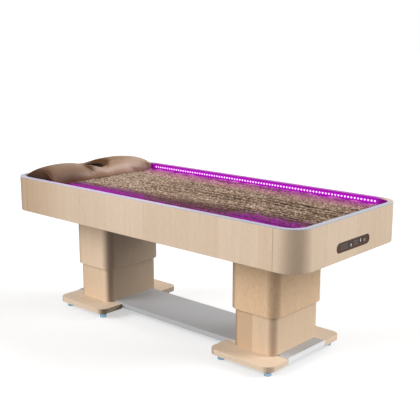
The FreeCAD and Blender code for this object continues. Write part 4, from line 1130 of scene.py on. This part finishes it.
def loose_grains():
    """All the grains as one piece. Most are small, by a beta draw between the two radii."""
    draw = np.random.RandomState(GRAIN_SEED)
    shape, sides = pebble()
    least, most = GRAIN_RADII
    margin = most * 2
    points, faces = [], []
    for number in range(GRAIN_COUNT):
        y = draw.uniform(sand_low.y + margin, sand_high.y - margin)
        x = draw.uniform(sand_low.x + margin, sand_end(y) - margin)
        radius = least + (most - least) * draw.beta(*GRAIN_SIZES)
        squash = draw.uniform(*GRAIN_SQUASH, 3) * radius
        spin = Matrix.Rotation(draw.uniform(0, math.tau), 3, Vector(draw.normal(size=3)))
        placed = (shape * squash) @ np.array(spin).T
        placed += (x, y, sand_height(x, y) + radius * draw.uniform(*GRAIN_LIFT))
        points.append(placed)
        faces.append(sides + number * len(shape))
    points, faces = np.concatenate(points).tolist(), np.concatenate(faces).tolist()
    material = sand_finish("grains", GRAIN_CONTRAST)
    return make_piece("loose_grains", points, faces, "tub", material, False)


grains = loose_grains()
print("loose grains:", GRAIN_COUNT, "with", len(grains.data.polygons), "faces")

# %% [markdown]
# ## The head cushion
# The cushion is foam on a board under leatherette. It has a full front that rises steeply from the
# sand, a lobe each side of a face hole, and a soft roll round the hole. It could be sculpted, but
# numbers can be checked against the photograph. Two tables read off it give the line of the front
# and the height of the crest from end to end. Their kinks are rounded, since each would show as a
# pleat in the skin.

# %% Tables of the cushion
PAD_EDGE_Y = (-0.431, -0.36, -0.29, -0.20, -0.06, 0.12, 0.29, 0.36, 0.40, 0.431)
PAD_EDGE_X = (-0.740, -0.757, -0.773, -0.789, -0.799, -0.804, -0.798, -0.783, -0.764, -0.742)
CREST_Y = (
    -0.431, -0.42, -0.40, -0.37, -0.32, -0.26, -0.20, -0.13, -0.08, -0.04,
    0.0, 0.05, 0.10, 0.20, 0.26, 0.31, 0.35, 0.38, 0.41, 0.431,
)
CREST_Z = (
    0.0700, 0.0840, 0.0950, 0.1040, 0.1110, 0.1145, 0.1140, 0.1085, 0.1010, 0.0990,
    0.1020, 0.1070, 0.1100, 0.1115, 0.1095, 0.1050, 0.0990, 0.0930, 0.0860, 0.0800,
)
EDGE_ROUNDING, CREST_ROUNDING = 0.045, 0.018
TABLE_STEP = 0.001


def smooth_table(places, values, width):
    """The table read at fine steps, with its kinks rounded over about the width."""
    half = int(width / TABLE_STEP)
    fine = np.arange(places[0] - 3 * width, places[-1] + 3 * width, TABLE_STEP)
    first = (values[1] - values[0]) / (places[1] - places[0])
    last = (values[-1] - values[-2]) / (places[-1] - places[-2])
    line = np.interp(fine, places, values)
    line += np.minimum(fine - places[0], 0.0) * first + np.maximum(fine - places[-1], 0.0) * last
    weights = np.exp(-2 * (np.arange(-half, half + 1) / half) ** 2)
    middle = slice(half, -half)
    return fine[middle], np.convolve(line, weights / weights.sum(), "same")[middle]


PAD_EDGE = smooth_table(PAD_EDGE_Y, PAD_EDGE_X, EDGE_ROUNDING)
PAD_CREST = smooth_table(CREST_Y, CREST_Z, CREST_ROUNDING)
print("highest point of the crest", round(float(PAD_CREST[1].max()), 4), "m over the board")

# %% [markdown]
# The height at any place is a profile from the front to the head edge, times the crest there. Near
# the hole it gives way to the soft roll round the mouth. The outline is a box with round corners
# whose front follows its table.

# %% Height and outline of the cushion
PAD_BASE = board_top + 0.0004
PAD_HEAD_X = pad_low.x + 0.004
PAD_END_Y = 0.430
PAD_CORNERS = {"foot_near": 0.070, "foot_far": 0.020, "head": 0.072}
CREST_SHARE = 0.42
PROFILE_POWERS = (2.6, 2.0)
LIP_HEIGHT, LIP_RISE = 0.0805, 0.0125
LIP_SLOPES, LIP_FRONT = Vector((-0.017, -0.116)), math.radians(-48)
LIP_WIDTH, LIP_ONSET = 0.027, 1.6


def foot_edge(y):
    """Where the cushion's front stands at one y."""
    return float(np.interp(y, *PAD_EDGE))


def mouth_distance(x, y):
    """Roughly how far a place lies outside the edge of the hole's wide mouth."""
    reach = math.hypot((x - MOUTH_CENTRE.x) / MOUTH_RADII[0], (y - MOUTH_CENTRE.y) / MOUTH_RADII[1])
    return (reach - 1.0) * sum(MOUTH_RADII) / 2


def cushion_height(x, y):
    """Height of the cushion's top over its board."""
    front = foot_edge(y)
    share = (front - x) / (front - PAD_HEAD_X)
    from_crest = (CREST_SHARE - share) / (CREST_SHARE if share < CREST_SHARE else CREST_SHARE - 1)
    first, second = PROFILE_POWERS
    profile = max(1 - min(from_crest, 1.0) ** first, 0.0) ** (1 / second)
    height = float(np.interp(y, *PAD_CREST)) * profile
    around = math.atan2((y - MOUTH_CENTRE.y) / MOUTH_RADII[1], (x - MOUTH_CENTRE.x) / MOUTH_RADII[0])
    lip = LIP_HEIGHT + LIP_SLOPES.dot(Vector((x, y)) - MOUTH_CENTRE)
    lip += LIP_RISE * max(math.cos(around - LIP_FRONT), 0.0) ** 2
    near_mouth = math.exp(-((max(mouth_distance(x, y), 0.0) / LIP_WIDTH) ** 2))
    return height + (lip - height) * near_mouth * min(profile * LIP_ONSET, 1.0)


def outside(x, y):
    """How far a place lies outside the cushion's outline, less than 0 inside it."""
    front = foot_edge(y)
    toward_foot = x > (front + PAD_HEAD_X) / 2
    corner = PAD_CORNERS[("foot_near" if y < 0 else "foot_far") if toward_foot else "head"]
    over_x = (x - front if toward_foot else PAD_HEAD_X - x) + corner
    over_y = abs(y) - PAD_END_Y + corner
    return math.hypot(max(over_x, 0), max(over_y, 0)) + min(max(over_x, over_y), 0) - corner


lip_front = cushion_height(MOUTH_CENTRE.x + MOUTH_RADII[0], MOUTH_CENTRE.y)
print("the roll round the hole is", round(lip_front, 4), "m high toward the foot")

# %% [markdown]
# The mesh is a closed ring because of the hole: up the hole's wall, over the top, down the sides
# and back underneath. Its columns follow straight lines from the hole to the outline, and halving
# finds how far away the outline is on each.

# %% Mesh of the cushion
PAD_SIDES, PAD_RINGS, PAD_WALL_RINGS = 240, 30, 5
HALVINGS = 40


def outline_reach(way):
    """Distance from the hole's centre to the outline in one direction."""
    near, far = 0.0, 1.0
    for _ in range(HALVINGS):
        middle = (near + far) / 2
        place = HOLE_CENTRE + way * middle
        near, far = (middle, far) if outside(place.x, place.y) < 0 else (near, middle)
    return near


def cushion_form():
    """A closed ring of a mesh: up the hole's wall, over the top, down the sides, back underneath."""
    rows = [[] for _ in range(2 * PAD_WALL_RINGS + PAD_RINGS + 1)]
    for k in range(PAD_SIDES):
        angle = math.tau * k / PAD_SIDES
        way = Vector((math.cos(angle), math.sin(angle)))
        throat = HOLE_CENTRE + Vector((HOLE_RADII[0] * way.x, HOLE_RADII[1] * way.y))
        edge = MOUTH_CENTRE + Vector((MOUTH_RADII[0] * way.x, MOUTH_RADII[1] * way.y))
        rim_point = HOLE_CENTRE + way * outline_reach(way)
        lip, brink = cushion_height(*edge), cushion_height(*rim_point)
        for j in range(PAD_WALL_RINGS):
            up = j / PAD_WALL_RINGS
            rows[j].append((*throat.lerp(edge, up**3), PAD_BASE + lip * up))
            rows[-1 - j].append((*rim_point, PAD_BASE + brink * up))
        for j in range(PAD_RINGS + 1):
            place = edge.lerp(rim_point, 1 - (1 - j / PAD_RINGS) ** 2)
            rows[PAD_WALL_RINGS + j].append((*place, PAD_BASE + cushion_height(*place)))
    points = [point for row in rows for point in row]
    faces = []
    for j in range(len(rows)):
        after = (j + 1) % len(rows)
        for k in range(PAD_SIDES):
            beside = (k + 1) % PAD_SIDES
            corners = ((j, k), (j, beside), (after, beside), (after, k))
            faces.append(tuple(row * PAD_SIDES + side for row, side in corners))
    mesh = bpy.data.meshes.new("pad_form")
    mesh.from_pydata(points, [], faces)
    form = bmesh.new()
    form.from_mesh(mesh)
    bmesh.ops.recalc_face_normals(form, faces=form.faces)
    form.to_mesh(mesh)
    form.free()
    return mesh


pad_mesh = cushion_form()
print("form of the cushion has", len(pad_mesh.polygons), "faces")

# %% [markdown]
# The form is remeshed evenly, drawn in a little and blown up as cloth with its underside held, which
# rounds the edges and gives the skin its slight unevenness. A cap on how far each point may move
# keeps the cushion in its space. Then it is smoothed, and divided once for a fine surface.

# %% Working on the cushion's mesh
PAD_VOXEL = 0.005
PAD_PRESSURE = 4.0
PAD_FRAMES = 20
PAD_FOOT = 0.004
PAD_RELAX, RELAX_SHARE = 14, 0.5


def remeshed(mesh):
    """An even closed copy of a mesh."""
    piece = add_object("pad_form", mesh)
    remesh = piece.modifiers.new("even", "REMESH")
    remesh.mode, remesh.voxel_size = "VOXEL", PAD_VOXEL
    even = final_mesh(piece)
    bpy.data.objects.remove(piece)
    return even


def blown_up(mesh, floor):
    """The mesh after cloth frames with pressure inside, its underside held."""
    piece = add_object("pad_cloth", mesh)
    held = piece.vertex_groups.new(name="held")
    held.add([v.index for v in mesh.vertices if v.co.z < floor + PAD_FOOT], 1.0, "REPLACE")
    cloth = piece.modifiers.new("swell", "CLOTH")
    cloth.settings.vertex_group_mass = "held"
    cloth.settings.use_pressure = True
    cloth.settings.uniform_pressure_force = PAD_PRESSURE
    cloth.settings.effector_weights.gravity = 0.0
    for step in range(1, PAD_FRAMES + 1):
        bpy.context.scene.frame_set(step)
    swollen = final_mesh(piece)
    bpy.data.objects.remove(piece)
    bpy.context.scene.frame_set(1)
    return swollen


def capped(before, after, cap):
    """The points after, each moved no further than the cap from where it was before."""
    was = np.array([v.co for v in before.vertices])
    now = np.array([v.co for v in after.vertices])
    step = now - was
    length = np.linalg.norm(step, axis=1, keepdims=True)
    print("skin moved", round(float(length.mean()) * 1000, 2), "mm on average")
    return was + step * np.minimum(1.0, cap / np.maximum(length, 1e-9))


def relaxed(mesh):
    """The mesh smoothed a little and once divided."""
    piece = add_object("pad_relaxed", mesh)
    relax = piece.modifiers.new("relax", "SMOOTH")
    relax.factor, relax.iterations = RELAX_SHARE, PAD_RELAX
    finer = piece.modifiers.new("finer", "SUBSURF")
    finer.levels = finer.render_levels = 1
    done = final_mesh(piece)
    bpy.data.objects.remove(piece)
    return done


pad_form = remeshed(pad_mesh)
print("even mesh has", len(pad_form.polygons), "faces of about", PAD_VOXEL * 1000, "mm")

# %% Blow up the cushion
PAD_SHRINK = 0.0045
PAD_CAP = 0.005
normals = np.array([v.normal for v in pad_form.vertices])
drawn_in = np.array([v.co for v in pad_form.vertices]) - normals * PAD_SHRINK
pad_form.vertices.foreach_set("co", drawn_in.ravel())
swollen = blown_up(pad_form.copy(), float(drawn_in[:, 2].min()))
pad_form.vertices.foreach_set("co", capped(pad_form, swollen, PAD_CAP).ravel())
pad_form = relaxed(pad_form)
print("cushion mesh has", len(pad_form.vertices), "points")

# %% [markdown]
# The seams come after the cloth. An end panel is sewn to the top panel along an arch near each
# end, and a round seam runs about the face hole. Each seam is a shallow groove: points near it are
# drawn in towards the inside. Geometry catches the light better here than a dark painted line.

# %% Seams
HOLE_SEAM = 0.026
END_SEAM_Y = PAD_END_Y - 0.038
END_SEAM_DEPTH, HOLE_SEAM_DEPTH = 0.0013, 0.0008
SEAM_WIDTH = 0.0055
UPHOLSTERY_GAP = 0.0006
PAD_FRONT_X = -0.736
HEAD_SLACK = 0.001
CROWN_FROM = (PAD_BASE + 0.02, PAD_BASE + 0.05)
FAR_SEAM_SHARE = 0.4


def groove(distance, depth):
    """Depth of a seam's groove at a distance from its line."""
    share = min(abs(distance) / SEAM_WIDTH, 1.0)
    return depth * (1 - share) ** 2 * (1 + 2 * share)


def sewn(point, normal):
    """One point of the cushion with the seams worked in, kept inside the basin."""
    x, y, z = point.x, point.y, point.z
    crown = smooth_rise(z, *CROWN_FROM)
    depth = groove(mouth_distance(x, y) - HOLE_SEAM, HOLE_SEAM_DEPTH) * crown
    depth += groove(abs(y) - END_SEAM_Y, END_SEAM_DEPTH * (1.0 if y < 0 else FAR_SEAM_SHARE))
    place = point - normal * depth
    place.x = min(max(place.x, pad_low.x - HEAD_SLACK), PAD_FRONT_X)
    place.y = min(max(place.y, -WALL_Y + UPHOLSTERY_GAP), WALL_Y - UPHOLSTERY_GAP)
    place.z = max(place.z, PAD_BASE)
    return place


sewn_points = [sewn(v.co, v.normal) for v in pad_form.vertices]
pad_form.vertices.foreach_set("co", [c for p in sewn_points for c in p])
cushion = add_object("cushion", pad_form)
cushion.data.materials.clear()
cushion.data.materials.append(cushion_leather)
cushion.data.polygons.foreach_set("use_smooth", [True] * len(cushion.data.polygons))
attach(cushion, "cushion")
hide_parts("head_cushion")
print("cushion has", len(cushion.data.polygons), "faces")

# %% [markdown]
# ## Light on the sand
# A long thin lamp stands at each strip and rides on the tub, so its light rises and sinks with it.
# It faces inward and a little down. Both lamps are weak, because the glow that the photograph shows
# is mostly in the paint of the walls and the sand, and stronger lamps would light it twice.

# %% Strip lamps
STRIP_LAMP_POWER = 0.4
STRIP_LAMP_COLOUR = (0.72, 0.0, 1.0)
STRIP_LAMP_WIDTH = 0.008
STRIP_LAMP_GAP = 0.006
STRIP_LAMP_TILT = 0.35


def strip_lamp(name, side):
    """A lamp as long as a strip. Side is -1 for the near wall and 1 for the far wall."""
    lamp = bpy.data.lights.new(name, "AREA")
    lamp.shape, lamp.size, lamp.size_y = "RECTANGLE", LIGHT_END - LIGHT_START, STRIP_LAMP_WIDTH
    lamp.energy, lamp.color = STRIP_LAMP_POWER, STRIP_LAMP_COLOUR
    holder = add_object(name, lamp)
    across = Vector((0, side, STRIP_LAMP_TILT)).normalized()
    holder.rotation_mode = "QUATERNION"
    holder.rotation_quaternion = across.to_track_quat("Z", "Y")
    y = side * (WALL_Y - STRIP_LAMP_GAP)
    holder.location = ((LIGHT_START + LIGHT_END) / 2, y, LIGHT_Z)
    holder.visible_camera = False
    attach(holder, "tub")


strip_lamp("strip_lamp_near", -1)
strip_lamp("strip_lamp_far", 1)
print("strip lamps at", round(STRIP_LAMP_POWER, 2), "W each")

# %% [markdown]
# ## Marks on the keys
# Each key carries a small printed mark, too small to read in the photograph. They could be drawn in
# the finish, but thin plates cut to outline keep sharp edges at any size. The marks are plain arrows
# and a ring, drawn for this model.

# %% Plates cut to outline
MARK_THICKNESS = 0.0003
RING_SIDES = 28


def plates(name, outlines, front, body, material):
    """Thin plates that face the foot end, one for each outline of (y, z) points."""
    points, faces = [], []
    for outline in outlines:
        start, count = len(points), len(outline)
        points += [(front, y, z) for y, z in outline]
        points += [(front + MARK_THICKNESS, y, z) for y, z in outline]
        faces.append(tuple(range(start + count, start + 2 * count)))
        faces.append(tuple(range(start + count - 1, start - 1, -1)))
        for k in range(count):
            after = (k + 1) % count
            faces.append((start + k, start + after, start + count + after, start + count + k))
    return make_piece(name, points, faces, body, material, False)


def bar(start, end, width):
    """A bar with pointed ends between two points."""
    start, end = Vector(start), Vector(end)
    along = (end - start).normalized() * width / 2
    across = Vector((-along.y, along.x))
    lower = (start, start + along - across, end - along - across)
    upper = (end, end - along + across, start + along + across)
    return [tuple(p) for p in lower + upper]


def ring_parts(centre, outer, inner, first, last):
    """Four-sided pieces of a ring from one angle to another."""
    angles = [first + (last - first) * k / RING_SIDES for k in range(RING_SIDES + 1)]
    ways = [Vector((math.cos(a), math.sin(a))) for a in angles]
    return [
        [tuple(centre + way * reach) for way, reach in ((a, inner), (a, outer), (b, outer), (b, inner))]
        for a, b in zip(ways, ways[1:])
    ]


def triangle(centre, half, up):
    """A triangle with its tip up, or down where up is -1."""
    corners = ((-0.8, -0.8 * up), (0.8, -0.8 * up), (0, 0.9 * up))
    return [tuple(centre + Vector(p) * half) for p in corners][::up]


print("a ring has", RING_SIDES, "parts")

# %% [markdown]
# Two keys have an arrow over a short line, one up and one down, and the third has an open ring with
# a stem. Every size is a share of half the mark's height, so one number scales them all.

# %% Key marks
MARK_HALF = 0.0072
LINE_DISTANCE, LINE_REACH, LINE_WIDTH = MARK_HALF * 1.35, MARK_HALF * 0.7, MARK_HALF * 0.3
RING_INNER = MARK_HALF * 0.62
RING_OPEN = (math.radians(125), math.radians(415))
STEM_LENGTH, STEM_WIDTH = MARK_HALF * 1.25, MARK_HALF * 0.36
ARROW_KEYS = ((1, 1), (2, -1))


def panel_place(node):
    """The middle of a node's front, and how far out the front is."""
    low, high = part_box(node)
    return Vector(((low.y + high.y) / 2, (low.z + high.z) / 2)), high.x


white_mark = moulded("white_mark", paint(214, 232, 244), 0.5, spread=0.05)
sand_mark = moulded("sand_mark", paint(206, 184, 160), 0.5, spread=0.05)
marks = {}
for number, up in ARROW_KEYS:
    centre, front = panel_place("key_%d" % number)
    tip = triangle(centre, MARK_HALF, up)
    foot = centre - Vector((0, LINE_DISTANCE * up))
    line = bar(foot - Vector((LINE_REACH, 0)), foot + Vector((LINE_REACH, 0)), LINE_WIDTH)
    marks[number] = plates("mark_%d" % number, [tip, line], front, "key_%d" % number, white_mark)
centre, front = panel_place("key_3")
ring_mark = ring_parts(centre, MARK_HALF, RING_INNER, *RING_OPEN)
ring_mark.append(bar(centre, centre + Vector((0, STEM_LENGTH)), STEM_WIDTH))
marks[3] = plates("mark_3", ring_mark, front, "key_3", sand_mark)

# %% [markdown]
# ## Digits in the windows
# Each window shows unlit digits behind smoked plastic. A digit has seven bars on two squares, and
# the same plates make them.

# %% Digits
DIGIT_HEIGHT = 0.019
DIGIT_WIDTH = 0.009
DIGIT_PITCH = 0.016
SEGMENT_WIDTH = 0.0021
SEGMENT_GAP = 0.12
SEGMENTS = (
    ((0, 0), (1, 0)), ((0, 1), (1, 1)), ((0, 2), (1, 2)),
    ((0, 0), (0, 1)), ((0, 1), (0, 2)), ((1, 0), (1, 1)), ((1, 1), (1, 2)),
)
WINDOW_DIGITS = {-0.080: 3, 0.026: 2}


def digit(corner):
    """The seven bars of one digit, from its lower corner."""
    size = Vector((DIGIT_WIDTH, DIGIT_HEIGHT / 2))
    places = [[corner + Vector((x * size.x, y * size.y)) for x, y in ends] for ends in SEGMENTS]
    return [bar(a.lerp(b, SEGMENT_GAP), b.lerp(a, SEGMENT_GAP), SEGMENT_WIDTH) for a, b in places]


digit_tone = moulded("digit_tone", paint(98, 88, 80), 0.4, spread=0.05, **DULL)
window_low, window_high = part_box("display_windows")
digit_foot = (window_low.z + window_high.z) / 2 - DIGIT_HEIGHT / 2
segments = []
for window_y, count in WINDOW_DIGITS.items():
    for k in range(count):
        left = window_y + (k - count / 2) * DIGIT_PITCH + (DIGIT_PITCH - DIGIT_WIDTH) / 2
        segments += digit(Vector((left, digit_foot)))
plates("window_digits", segments, window_high.x, "tub", digit_tone)
print("panel has", len(marks), "marks and", len(segments), "digit parts")

# %% [markdown]
